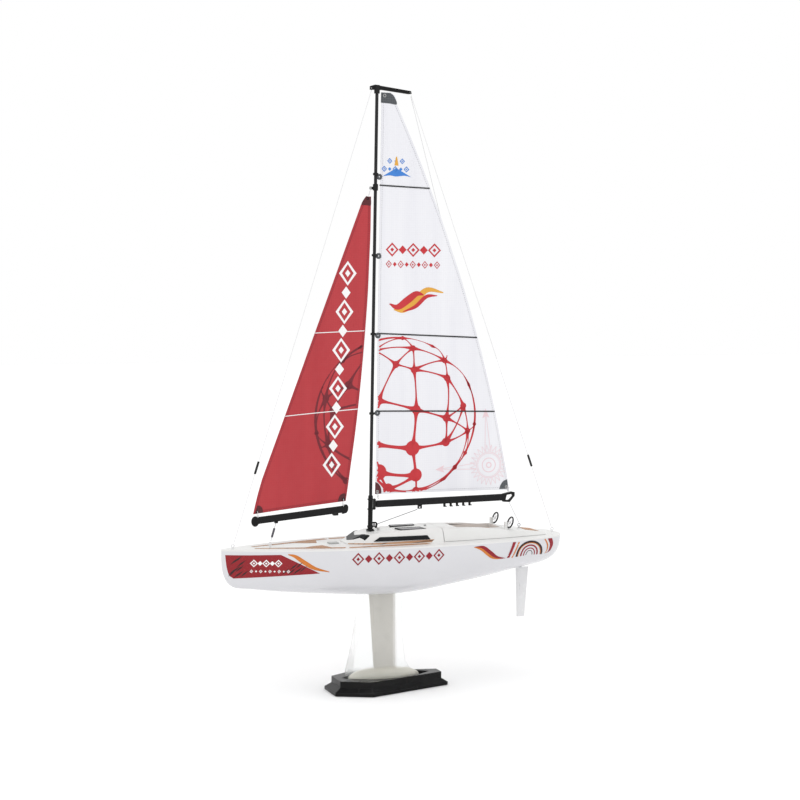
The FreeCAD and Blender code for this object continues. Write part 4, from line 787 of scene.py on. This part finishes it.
def eyelets(name, spots, surface, outer, wire, material, body):
    # pressed metal eyelets through the cloth, their rims proud on both faces
    parts = []
    for centre in spots:
        for side in (1, -1):
            rim = loopPath(surface(centre, side, eyeletLook["proud"]), (0, 1, 0), outer)
            parts.append(tubeAlong(rim, wire, 8, closed=True))
        port, starboard = (surface(centre, side, eyeletLook["throat"]) for side in (1, -1))
        radius = outer * eyeletLook["boreShare"]
        bore = [(radius, 0), (radius, (port - starboard).length)]
        parts.append(turned(bore, starboard, (0, 1, 0), 20))
    return piece(name, *merged(parts), material, body, "steel_wire")


mainEyelets = eyelets("mainsail_eyelets", [(-136.2, 221.4), (21.4, 222.2), (14.6, 658.2)], onMain, 1.5, 0.42,
                      "leadGrey", "main_boom")

# round stiffeners where the luff rings pass through the cloth
luffLook = {"spots": ((20.4, 569.7), (20.9, 483.2), (21.3, 395.8), (21.6, 310.0)), "radius": 3.3,
            "bore": 0.7, "thickness": 0.5}
luffDiscs = layOn("mainsail_luff_discs",
                  [bandBetween(circleOf(spot, luffLook["radius"]), circleOf(spot, luffLook["bore"]), 3)
                   for spot in luffLook["spots"]], onMain, 0.5, "patchGrey", "main_boom", "fitting_black")
thicken(luffDiscs, luffLook["thickness"], -1)
print("mainsail hems, battens, patches and eyelets made")


# sail prints: a globe of knotted cord, rows of lozenges, a two-colour wave, an emblem and a compass

globe = {"centre": (-1.8, 303.9), "radius": 95.0, "squash": 0.94, "seed": 11, "links": 4,
         "rows": ((-64, 6), (-40, 10), (-16, 13), (8, 13), (34, 11), (60, 8)), "tip": (28, -12),
         "knot": 9.6, "waist": 2.0, "heavy": (4.0, 262.0),
         "arcs": ((-62, 100, 2.2), (48, 58, 1.8), (150, 70, 2.0))}


def globeNet():
    # knots scattered evenly over a ball, each tied to its nearest neighbours
    draw = random.Random(globe["seed"])
    spots = [Vector((0, 0, 1)), Vector((0, 0, -1))]
    for lat, count in globe["rows"]:
        for k in range(count):
            lon = math.radians(360 * k / count + lat * 2.1 + draw.uniform(-9, 9))
            high = math.radians(lat + draw.uniform(-7, 7))
            spots.append(Vector((math.cos(high) * math.cos(lon), math.cos(high) * math.sin(lon),
                                 math.sin(high))))
    links = set()
    for i, spot in enumerate(spots):
        near = sorted(range(len(spots)), key=lambda k: (spots[k] - spot).length)[1:globe["links"] + 1]
        links |= {(min(i, k), max(i, k)) for k in near}
    forward, sideways = (math.radians(angle) for angle in globe["tip"])
    tip = Matrix.Rotation(forward, 3, "X") @ Matrix.Rotation(sideways, 3, "Y")
    return [tip @ spot for spot in spots], sorted(links)


def globeFlat(spot):
    return (globe["centre"][0] + globe["radius"] * spot.x,
            globe["centre"][1] + globe["radius"] * spot.z * globe["squash"])


def heaviness(flat):
    away = (Vector(flat) - Vector(globe["heavy"])).length
    return 0.72 + 1.15 * math.exp(-(away / 50) ** 2)


def clipped(shapes, inside):
    # only the faces that lie wholly inside the outline
    return [(points, [face for face in faces if all(inside(points[i]) for i in face)])
            for points, faces in shapes]


def globeCord(first, second, heavy):
    # one cord on the near half of the ball: thick at its knots, thin half way and towards the rim
    path, widths = [], []
    for step in range(29):
        t = step / 28
        spot = first.lerp(second, t).normalized()
        if spot.y > 0.12:
            continue
        flat = globeFlat(spot)
        thin = globe["waist"] * (1.0 - 0.5 * max(spot.y + 0.2, 0))
        wide = thin + (globe["knot"] - thin) * abs(2 * t - 1) ** 3.4
        path.append(flat)
        widths.append(wide * heaviness(flat) * heavy * (0.45 + 0.55 * min(max(-spot.y * 1.6, 0), 1)))
    return path, widths


def globeShapes(heavy=1.0):
    spots, links = globeNet()
    shapes = []
    for i, k in links:
        path, widths = globeCord(spots[i], spots[k], heavy)
        if len(path) > 5:
            shapes.append(cordShape(path, widths, 2))
    for spot in spots:
        if spot.y < 0.0:
            flat = globeFlat(spot)
            radius = globe["knot"] * 0.56 * heaviness(flat) * heavy * (0.5 + 0.5 * min(-spot.y * 1.6, 1))
            shapes.append(bandBetween(circleOf(flat, radius, 20), [flat] * 21, 2))
    for start, sweep, wide in globe["arcs"]:
        turns = [math.radians(start + sweep * i / 40) for i in range(41)]
        arc = [globeFlat(Vector((math.cos(turn), 0, math.sin(turn)))) for turn in turns]
        widths = [0.3 + wide * heavy * math.sin(math.pi * i / 40) for i in range(41)]
        shapes.append(cordShape(arc, widths, 2))
    return shapes


mainGlobe = layOn("mainsail_print_globe", clipped(globeShapes(), insideMain), onMain, 0.28, "printRed",
                  "main_boom", "sail_red")

mainBars = layOn("mainsail_print_bars",
                 lozengeRow(5, (4.4, 490.4), -12.6, -0.1, 15.4, 15.6, 2.3)
                 + lozengeRow(9, (8.4, 474.4), -7.2, -0.1, 7.4, 8.6, 1.2),
                 onMain, 0.28, "printRed", "main_boom", "sail_red")


def waveBlade(path, widest):
    return strokeShape(flatCurve(path, 7), widest)


mainWaveRed = layOn("mainsail_print_wave_red", [
    waveBlade([(7.2, 430.6), (-2.5, 427.0), (-14.5, 434.5), (-25.0, 441.6), (-33.5, 440.6)], 8.2),
    waveBlade([(-9.0, 421.8), (-24.0, 427.5), (-37.0, 438.5), (-50.0, 439.6)], 4.6),
], onMain, 0.30, "printRed", "main_boom", "sail_red")
mainWaveYellow = layOn("mainsail_print_wave_yellow", [
    waveBlade([(2.0, 424.2), (-10.0, 423.6), (-24.0, 434.0), (-38.0, 446.0), (-57.0, 443.0)], 7.6),
], onMain, 0.27, "printYellow", "main_boom", "sail_white")

emblemBlue = layOn("mainsail_print_emblem_blue",
                   [fanPatch((0.2, 579.8),
                             [(16.5, 570.4), (8.0, 571.6), (0.2, 570.6), (-9.0, 571.6), (-17.2, 570.4)])]
                   + lozengeRow(5, (14.6, 578.6), -6.6, 0, 6.6, 6.8, 1.3)
                   + lozengeRow(3, (8.0, 587.4), -7.4, 0, 6.0, 6.4, 1.2),
                   onMain, 0.28, "printBlue", "main_boom", "sail_white")
emblemYellow = layOn("mainsail_print_emblem_yellow",
                     [quadShape([(-2.4, 582.6), (2.4, 582.6), (0.6, 592.2), (-0.6, 592.2)])],
                     onMain, 0.31, "printYellow", "main_boom", "sail_white")

compass = {"centre": (-114.4, 247.3), "rings": ((15.2, 14.5), (13.6, 13.1), (8.4, 7.5), (3.4, 2.2)),
           "rays": 24, "rayTip": 23.0, "rayRoot": 16.0, "line": 0.5,
           "needles": ((-108.9, 316.0), (-54.0, 244.2)), "needleWide": 3.4, "needleLong": 56}


def compassNeedle(tip):
    # a pair of lines that close towards an arrow head
    centre = Vector(compass["centre"])
    way = (Vector(tip) - centre).normalized()
    out = Vector((-way.y, way.x))
    shapes = []
    for side in (-1, 1):
        start = centre + way * 15.4 + out * side * compass["needleWide"]
        end = centre + way * compass["needleLong"] + out * side * 0.5
        shapes.append(strokeShape(lineOf(tuple(start), tuple(end), 12), compass["line"] * 1.2, False))
    head = centre + way * (compass["needleLong"] - 2)
    barbs = [tuple(head + out * 4.2), tuple(head + way * 2), tuple(head - out * 4.2)]
    return shapes + [fanPatch(tuple(head + way * 11), barbs)]


compassShapes = [ringShape(compass["centre"], a, b, 40) for a, b in compass["rings"]]
compassShapes += rayRing(compass["centre"], compass["rays"], compass["rayTip"], compass["rayRoot"],
                         compass["line"], 8)
for needle in compass["needles"]:
    compassShapes += compassNeedle(needle)
mainCompass = layOn("mainsail_print_compass", clipped(compassShapes, insideMain), onMain, 0.25, "printPink",
                    "main_boom", "sail_white")
print("mainsail prints made")


# jib: red cloth between the jib boom and the hoist on the mast

jibCut = {"clew": (58.6, 213.5), "tack": (164.6, 203.5), "headAft": (29.9, 548.0),
          "luff": ((203.5, 164.6), (212.0, 162.7), (225.0, 159.4), (241.0, 154.6), (540.0, 41.2),
                   (548.0, 36.0)),
          "roach": 6.4, "belly": 0.026, "thickness": 0.3, "rows": 110, "columns": 36, "footWedge": 540.0,
          "foot": 206, "span": 342}


def jibEdges(height):
    cut = jibCut
    t = min(max((height - cut["clew"][1]) / (cut["headAft"][1] - cut["clew"][1]), 0), 1)
    straight = cut["clew"][0] + (cut["headAft"][0] - cut["clew"][0]) * t
    leech = straight - 4 * cut["roach"] * t * (1 - t)
    for (low, near), (high, far) in zip(cut["luff"], cut["luff"][1:]):
        if height <= high:
            break
    luff = near + (far - near) * (height - low) / (high - low)
    return leech, luff


def jibDepth(x, z):
    leech, luff = jibEdges(z)
    return bellied((luff - x) / (luff - leech), luff - leech, z - jibCut["foot"], jibCut["belly"],
                   jibCut["span"])


def onJib(point, side, lift):
    return Vector((point[0], jibDepth(*point) + side * lift, point[1]))


def jibFoot(x):
    return jibCut["tack"][1] + (jibCut["tack"][0] - x) * 10.0 / 105.2


def insideJib(point, edge=1.2):
    leech, luff = jibEdges(point[1])
    return leech + edge < point[0] < luff - edge and jibFoot(point[0]) + edge < point[1] < 546


def jibSpot(u, v):
    base = jibCut["tack"][1] + (jibCut["clew"][1] - jibCut["tack"][1]) * u
    z = base + (jibCut["headAft"][1] - base) * v
    leech, luff = jibEdges(z)
    x = luff + (leech - luff) * u
    return Vector((x, jibDepth(x, z), z))


jibCloth = clothSheet("jib_cloth", jibSpot, jibCut, "sail_red", "jib_boom")
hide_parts("jib_sail")


def jibEdge(inset, steps=90):
    heights = [204.5 + 342.5 * i / steps for i in range(steps + 1)]
    luff = [(jibEdges(z)[1] - inset * 1.07, z) for z in heights]
    leech = [(jibEdges(z)[0] + inset, z) for z in heights if z >= 213.7]
    foot = [(x, jibFoot(x) + inset) for x, _ in lineOf((162.5, 0), (59.0, 0), steps)]
    return luff, leech, foot


jibHems = layOn("jib_hems", [bandBetween(a, b) for a, b in zip(jibEdge(0.05), jibEdge(hem["width"]))], onJib,
                hem["lift"], "hemRed", "jib_boom", "sail_red")
jibStitches = layOn("jib_stitching",
                    [s for path in jibEdge(hem["width"] - 0.6) for s in stitchesAlong(path, hem)], onJib,
                    hem["lift"] + 0.06, "printShadow", "jib_boom", "sail_red")
jibSeams = layOn("jib_seam_tapes", [strokeShape(lineOf((94.4, 399.0), (37.2, 401.0), 24), 0.9, False),
                                    strokeShape(lineOf((128.4, 309.0), (44.6, 315.0), 30), 0.9, False)],
                 onJib, 0.34, "printWhite", "jib_boom", "sail_white")
jibPatches = patchSet("jib_corner_patches", [
    ((33.0, 547.8), [(30.1, 547.7), (30.2, 538.6), (35.6, 538.6), (41.2, 539.2), (36.2, 547.8),
                     (34.0, 547.9)]),
    ((163.0, 203.8), [(159.6, 212.8), (157.0, 212.4), (154.2, 209.8), (153.2, 204.8)]),
    ((59.2, 213.8), [(58.6, 221.8), (61.8, 222.0), (65.6, 219.6), (67.9, 213.1)]),
], onJib, "patchMaroon", "jib_boom", "sail_red")
jibEyelets = eyelets("jib_eyelets", [(61.3, 215.6), (159.8, 206.2), (34.0, 545.6)], onJib, 1.2, 0.36,
                     "markerBlack", "jib_boom")
jibGlobe = layOn("jib_print_globe", clipped(globeShapes(1.15), insideJib), onJib, 0.26, "printShadow",
                 "jib_boom", "sail_red")

# white lozenges up the jib
jibMarks = layOn("jib_print_marks", lozengeRow(11, (74.6, 254.0), -1.8, 21.0, 20.5, 27.0, 3.4, 0.5), onJib,
                 0.31, "printWhite", "jib_boom", "sail_white")
print("jib made")


# hull graphics: printed film that follows the topsides on both sides

def castOn(node, inboard):
    # lays flat art on a moulding: looks across the boat from each side for its outer face
    data = nodes[node].data
    faces = [tuple(polygon.vertices) for polygon in data.polygons]
    tree = BVHTree.FromPolygons([vertex.co / mm for vertex in data.vertices], faces)

    def onFace(point, side, lift):
        start = Vector((point[0], 80.0 * side, point[1]))
        spot, facing, _, _ = tree.ray_cast(start, Vector((0, -side, 0)))
        if spot is None or spot.y * side < inboard:
            return None
        return spot + facing * (lift if facing.y * side >= 0 else -lift)
    return onFace


onHull, onRoof = castOn("hull_shell", 0.0), castOn("deck_moulding", 10.0)
film = {"lift": 0.14, "over": 0.20}


def filmPiece(name, shapes, ink, over=False):
    return layOn(name, shapes, onHull, film["over"] if over else film["lift"], ink, "hull", "hull_white")


bowTop = [*lineOf((197.0, 161.4), (141.8, 162.2), 30), *lineOf((140.8, 161.7), (100.5, 141.1), 30)]
bowFoot = flatCurve([(196.4, 154.6), (195.4, 147.6), (193.0, 139.6), (188.6, 135.9)], 5)
bowFoot += lineOf((187.6, 136.0), (100.5, 141.1), len(bowTop) - len(bowFoot) - 1)
filmPiece("hull_film_bow_panel", [bandBetween(bowTop, bowFoot, 8)], "inkDarkRed")


slash = {"length": 8.0, "wide": 3.7, "lean": -0.7,
         "spots": ((186.5, 156.0, 1.0), (181.5, 152.5, 0.7), (188.0, 145.0, 0.9), (183.0, 147.0, 0.6),
                   (184.0, 140.5, 0.8), (178.0, 141.5, 0.6), (190.5, 141.5, 0.45), (128.5, 149.0, 0.7),
                   (123.0, 150.5, 0.5), (130.0, 144.0, 0.6), (124.0, 144.6, 0.9), (136.5, 143.6, 0.5),
                   (118.5, 146.4, 0.5))}


def slashShape(x, z, share):
    # a short slanted stroke; share is its length against the longest
    run = slash["length"] * share / 2
    rise = run * slash["lean"]
    out = (slash["wide"] * 0.5, -slash["wide"] * 0.62)
    return quadShape([(x - run - out[0], z - rise - out[1]), (x + run - out[0], z + rise - out[1]),
                      (x + run + out[0], z + rise + out[1]), (x - run + out[0], z - rise + out[1])])


filmPiece("hull_film_bow_slashes", [slashShape(*spot) for spot in slash["spots"]], "inkBlack", True)
filmPiece("hull_film_bow_marks",
          lozengeRow(5, (169.0, 153.0), -6.2, -0.05, 8.0, 8.4, 1.4)
          + lozengeRow(9, (171.2, 144.2), -4.7, -0.05, 3.6, 3.9, 0.7), "inkWhite", True)
bowSwoosh = [(134.6, 162.6), (127.0, 160.2), (117.0, 153.2), (106.0, 146.8), (90.6, 142.6)]
filmPiece("hull_film_bow_orange", [strokeShape(flatCurve(bowSwoosh, 8), 4.6)], "inkOrange")
filmPiece("hull_film_name_marks", lozengeRow(9, (60.6, 155.9), -11.5, 0.05, 13.4, 14.4, 2.1), "inkRed")


def sweptBand(top, bottom, steps=12):
    # a band with its two long edges given as smooth curves
    return bandBetween(flatCurve(top, steps), flatCurve(bottom, steps))


tailTop = [(-76.0, 163.2), (-86.4, 163.2), (-96.4, 156.8), (-105.0, 150.4), (-116.5, 147.0)]
tailMiddle = [(-75.0, 162.9), (-84.0, 160.6), (-92.6, 154.4), (-100.4, 149.2), (-110.0, 146.7)]
tailFoot = [(-73.6, 162.6), (-82.6, 158.6), (-90.6, 152.4), (-97.4, 148.2), (-105.0, 146.6)]
filmPiece("hull_film_stern_tail_orange", [sweptBand(tailMiddle, tailFoot)], "inkOrange")
filmPiece("hull_film_stern_tail_red", [sweptBand(tailTop, tailMiddle)], "inkRed")
filmPiece("hull_film_stern_bar_red", [quadShape([(-124.1, 164.8), (-128.3, 164.8), (-121.0, 147.0),
                                                 (-117.6, 147.0)])], "inkRed")
filmPiece("hull_film_stern_bar_orange", [quadShape([(-131.4, 164.4), (-133.4, 164.4), (-125.6, 146.6),
                                                    (-123.8, 146.6)])], "inkOrange")


def archBand(left, right, foot, top, wide):
    # a horseshoe of constant width, open at the foot
    middle, half, tall = (left + right) / 2, abs(right - left) / 2, top - foot
    outer, inner = [], []
    for i in range(33):
        angle = math.pi * i / 32
        c, s = math.cos(angle), math.sin(angle) ** 0.82 if 0 < i < 32 else 0.0
        outer.append((middle - half * c, foot + tall * s))
        inner.append((middle - (half - wide) * c, foot + (tall - wide * 0.85) * s))
    return bandBetween(outer, inner)


arches = {"outer": ((-129.4, -166.6, 147.2, 164.8, 2.7), "inkBlack"),
          "shade": ((-131.8, -164.0, 147.4, 162.6, 1.0), "inkOrange"),
          "middle": ((-135.4, -160.0, 147.6, 160.4, 2.0), "inkRed"),
          "inner": ((-139.4, -156.0, 147.8, 156.8, 1.4), "inkRed"),
          "core": ((-143.0, -152.4, 148.0, 153.8, 0.8), "inkBlack")}
for name, (spans, ink) in arches.items():
    filmPiece("hull_film_stern_arch_" + name, [archBand(*spans)], ink)
filmPiece("hull_film_stern_band_orange", [
    sweptBand([(-167.6, 164.8), (-171.6, 158.0), (-172.2, 152.0), (-170.4, 147.8)],
              [(-169.6, 164.8), (-173.6, 158.0), (-173.6, 152.0), (-171.4, 147.8)])], "inkOrange")
filmPiece("hull_film_stern_band_red", [
    sweptBand([(-172.6, 165.0), (-176.0, 158.2), (-175.4, 151.0), (-172.9, 147.9)],
              [(-179.0, 165.0), (-181.0, 158.2), (-178.4, 151.0), (-173.4, 147.8)])], "inkRed")

# a teak strip along the foot of the coachroof's sides
layOn("coachroof_side_teak", [
    bandBetween(lineOf((60.0, 168.2), (-36.0, 170.3), 60), lineOf((60.0, 167.3), (-32.0, 167.3), 60), 3)],
    onRoof, 0.12, "teak_print", "hull", "teak_print")
print("hull graphics made")


# deck fittings: skylights set at a slope, the two helms and the kicker's hook on the mast

skylight = {"fore": 3.4, "aft": -29.4, "inner": 7.6, "outer": 19.8, "skew": 3.2, "low": 181.5, "high": 182.0,
            "foot": 179.6}


def skylightParts():
    glass, rims = [], []
    for side in (1, -1):
        corners = []
        for x, y, z in (("fore", "inner", "high"), ("fore", "outer", "low"), ("aft", "outer", "low"),
                        ("aft", "inner", "high")):
            skew = {("fore", "outer"): -1, ("aft", "inner"): 1}.get((x, y), 0) * skylight["skew"]
            corners.append(Vector((skylight[x] + skew, side * skylight[y], skylight[z])))
        middle = sum(corners, Vector()) / 4
        top = [corners[k].lerp(corners[(k + 1) % 4], t / 6) for k in range(4) for t in range(6)]
        inset = [spot.lerp(middle, 0.07) + Vector((0, 0, 0.12)) for spot in top]
        sunk = [spot.lerp(middle, 0.09) - Vector((0, 0, 0.1)) for spot in top]
        foot = [Vector((spot.x, spot.y, skylight["foot"])) for spot in top]
        count = len(top)
        ring = [(i, (i + 1) % count, (i + 1) % count + count, i + count) for i in range(count)]
        for a, b in ((foot, top), (top, inset), (inset, sunk)):
            rims.append((a + b, ring))
        glass.append((sunk + [middle], [(i, (i + 1) % count, count) for i in range(count)]))
    return glass, rims


glassParts, rimParts = skylightParts()
skylightGlass = piece("skylight_glass", *merged(glassParts), "skylight_grey", "hull", "skylight_grey", False)
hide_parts("skylights")
piece("skylight_rims", *merged(rimParts), "markerBlack", "hull", "skylight_grey", False)

helm = {"hub": (-132.0, 20.6, 183.4), "radius": 6.3, "rim": 0.85, "spoke": 0.3, "spokes": 6, "rake": 20.0,
        "turn": 0.26, "spokeReach": (0.6, 2.0, 4.4, 6.2), "spokeSwell": (1.5, 1.0, 0.9, 1.25),
        "boss": ((0.01, 0.9), (0.8, 0.75), (1.3, 0.2), (1.3, -0.4), (0.7, -0.8), (0.01, -0.9))}


def helmParts():
    rims, spokes = [], []
    rake = math.radians(helm["rake"])
    facing = Vector((math.cos(rake), 0, math.sin(rake)))
    up = Vector((-math.sin(rake), 0, math.cos(rake)))
    for side in (1, -1):
        hub = Vector((helm["hub"][0], side * helm["hub"][1], helm["hub"][2]))
        rim = loopPath(hub, facing, helm["radius"], 48, 1.0, up)
        rims.append(tubeAlong(rim, helm["rim"], 10, closed=True))
        across = facing.cross(up)
        for k in range(helm["spokes"]):
            angle = 2 * math.pi * k / helm["spokes"] + helm["turn"]
            arm = up * math.cos(angle) + across * math.sin(angle)
            spokes.append(tubeAlong([hub + arm * reach for reach in helm["spokeReach"]], helm["spoke"], 8,
                                    taper=helm["spokeSwell"]))
        spokes.append(turned(helm["boss"], hub, facing, 18))
    return rims, spokes


rimParts, spokeParts = helmParts()
helmRims = piece("helm_wheel_rims", *merged(rimParts), "markerBlack", "cockpit_cover", "fitting_black")
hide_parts("helm_wheels")
piece("helm_wheel_spokes", *merged(spokeParts), "stayLight", "cockpit_cover", "fitting_black")

# the hook's wire runs out from the mast, bends down and ends in a bead
hook = {"path": ((28.4, 0, 187.4), (25.0, 0, 187.9), (22.6, 0, 187.4), (21.8, 0, 185.4), (22.8, 0, 183.4)),
        "wire": 0.95, "bead": (22.8, 0, 183.0),
        "beadProfile": ((0.01, 1.5), (1.0, 1.2), (1.5, 0.2), (1.2, -1.0), (0.01, -1.5))}
hookParts = [tubeAlong(curveThrough(hook["path"], 6), hook["wire"], 12),
             turned(hook["beadProfile"], hook["bead"], (0, 0, 1), 18)]
piece("kicker_hook", *merged(hookParts), "fitting_black", "hull", "fitting_black")
print("deck fittings made")


# running rigging: the topping lift and the main sheet run straight between the hull and the boom

lineLook = {"liftRadius": 0.3, "sheetRadius": 0.35, "steps": 60}
boxLift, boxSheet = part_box("topping_lift"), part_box("main_sheet")


def rigLine(name, node, start, end, radius):
    start, end = Vector(start), Vector(end)
    path = [start.lerp(end, i / lineLook["steps"]) for i in range(lineLook["steps"] + 1)]
    line = placed(name, meshOf(name, *tubeAlong(path, radius, 10), materials["rope_white"]))
    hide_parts(node)
    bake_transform(line)


liftTop = (boxLift[1].x / mm, -1.2, boxLift[1].z / mm - 0.3)
liftFoot = (boxLift[0].x / mm + 0.3, -2.9, boxLift[0].z / mm + 0.3)
rigLine("topping_lift_cord", "topping_lift", liftTop, liftFoot, lineLook["liftRadius"])
sheetFoot = (boxSheet[0].x / mm + 0.3, 0.0, boxSheet[0].z / mm + 0.1)
sheetTop = (boxSheet[1].x / mm - 0.3, 0.0, boxSheet[1].z / mm - 0.1)
rigLine("main_sheet_cord", "main_sheet", sheetFoot, sheetTop, lineLook["sheetRadius"])
print("rigging lines made")


# corner lashings: small loops of cord that tie the sails to their fittings

lashLook = {"cord": 0.28, "knotCord": 0.26, "knot": 0.55, "knotAt": 0.62, "turns": 40, "knotTurns": 24}


def lashing(name, start, end, slack, body):
    # a loop of cord through two eyes, with a knot beside the lower one
    start, end = Vector(start), Vector(end)
    way = (end - start).normalized()
    side = Vector((0, 1, 0))
    loop = []
    for i in range(lashLook["turns"]):
        angle = 2 * math.pi * i / lashLook["turns"]
        middle = start.lerp(end, 0.5 - 0.5 * math.cos(angle))
        loop.append(middle + side * slack * math.sin(angle) + way * 0.4 * -math.cos(angle))
    parts = [tubeAlong(loop, lashLook["cord"], 8, closed=True)]
    knot = []
    centre = start.lerp(end, lashLook["knotAt"]) + side * slack * 0.9
    for i in range(lashLook["knotTurns"]):
        angle = 2 * math.pi * i / lashLook["knotTurns"]
        knot.append(centre + Vector((math.cos(angle) + 0.6 * math.cos(2 * angle), math.sin(2 * angle) * 0.7,
                                     math.sin(angle) - 0.6 * math.sin(2 * angle))) * lashLook["knot"])
    parts.append(tubeAlong(knot, lashLook["knotCord"], 7, closed=True))
    points, faces = merged(parts)
    return piece(name, points, faces, "rope_white", body, "rope_white")


lashings = {"clew_lashing": ((-136.4, 0, 221.4), (-139.4, 0, 215.4), 1.9, "main_boom"),
            "tack_lashing": ((21.6, 0, 222.2), (20.2, 0, 214.6), 1.9, "main_boom"),
            "jib_clew_lashing": ((61.3, 0, 215.6), (61.6, 0, 206.6), 2.1, "jib_boom"),
            "jib_tack_lashing": ((159.8, 0, 206.2), (159.4, 0, 199.0), 2.1, "jib_boom")}
for name, (start, end, slack, body) in lashings.items():
    lashing(name, start, end, slack, body)
print("lashings made")


# floor, light and camera

studio = {"floor": 14.0, "tone": (0.93, 0.93, 0.93), "toneTwo": (0.95, 0.95, 0.95), "sky": 1.0, "sun": 0.55,
          "sunSoft": 50, "sunLean": (-12, 8, 0)}
half = studio["floor"] / 2 / mm
corners = [(-half, -half, 0), (half, -half, 0), (half, half, 0), (-half, half, 0)]
floorMat, floorTree, floorShader = startMaterial("studioFloor")
floorTone = noiseOn(floorTree, boatCoords(floorTree), 3)
floorTree.links.new(blendColours(floorTree, floorTone, studio["tone"], studio["toneTwo"]),
                    floorShader.inputs["Base Color"])
floorShader.inputs["Roughness"].default_value = 0.85
floorShader.inputs["Specular IOR Level"].default_value = 0.1
floor = placed("studioFloor", meshOf("studioFloor", corners, [(0, 1, 2, 3)], floorMat, False))

world = bpy.data.worlds.new("studioWorld")
world.use_nodes = True
world.node_tree.nodes["Background"].inputs["Color"].default_value = (1, 1, 1, 1)
world.node_tree.nodes["Background"].inputs["Strength"].default_value = studio["sky"]
bpy.context.scene.world = world


def softLight(name, place, target, size, power):
    lamp = bpy.data.lights.new(name, "AREA")
    lamp.shape = "RECTANGLE"
    lamp.size, lamp.size_y = size
    lamp.energy = power
    item = placed(name, lamp)
    item.location = place
    item.rotation_euler = (Vector(target) - Vector(place)).to_track_quat("-Z", "Y").to_euler()


softLight("keyLight", (1.6, 1.9, 1.9), (0, 0, 0.25), (1.2, 1.2), 6)
softLight("fillLight", (-1.8, 1.4, 1.0), (0, 0, 0.25), (1.2, 1.6), 1.5)
overhead = bpy.data.lights.new("overheadLight", "SUN")
overhead.energy = studio["sun"]
overhead.angle = math.radians(studio["sunSoft"])
placed("overheadLight", overhead).rotation_euler = [math.radians(angle) for angle in studio["sunLean"]]

view = {"place": (0.6935, 1.78989, 0.46155), "lens": 77.96, "up": (-0.0214, -0.0684, 0.9974),
        "back": (0.3627, 0.9291, 0.0715)}
cameraData = bpy.data.cameras.new("viewCamera")
cameraData.lens = view["lens"]
cameraData.sensor_width = 36
camera = placed("viewCamera", cameraData)
back = Vector(view["back"]).normalized()
right = Vector(view["up"]).cross(back).normalized()
up = back.cross(right)
camera.matrix_world = Matrix.Translation(view["place"]) @ Matrix((right, up, back)).transposed().to_4x4()
bpy.context.scene.camera = camera
bpy.context.scene.view_settings.view_transform = "Standard"
print("studio set")
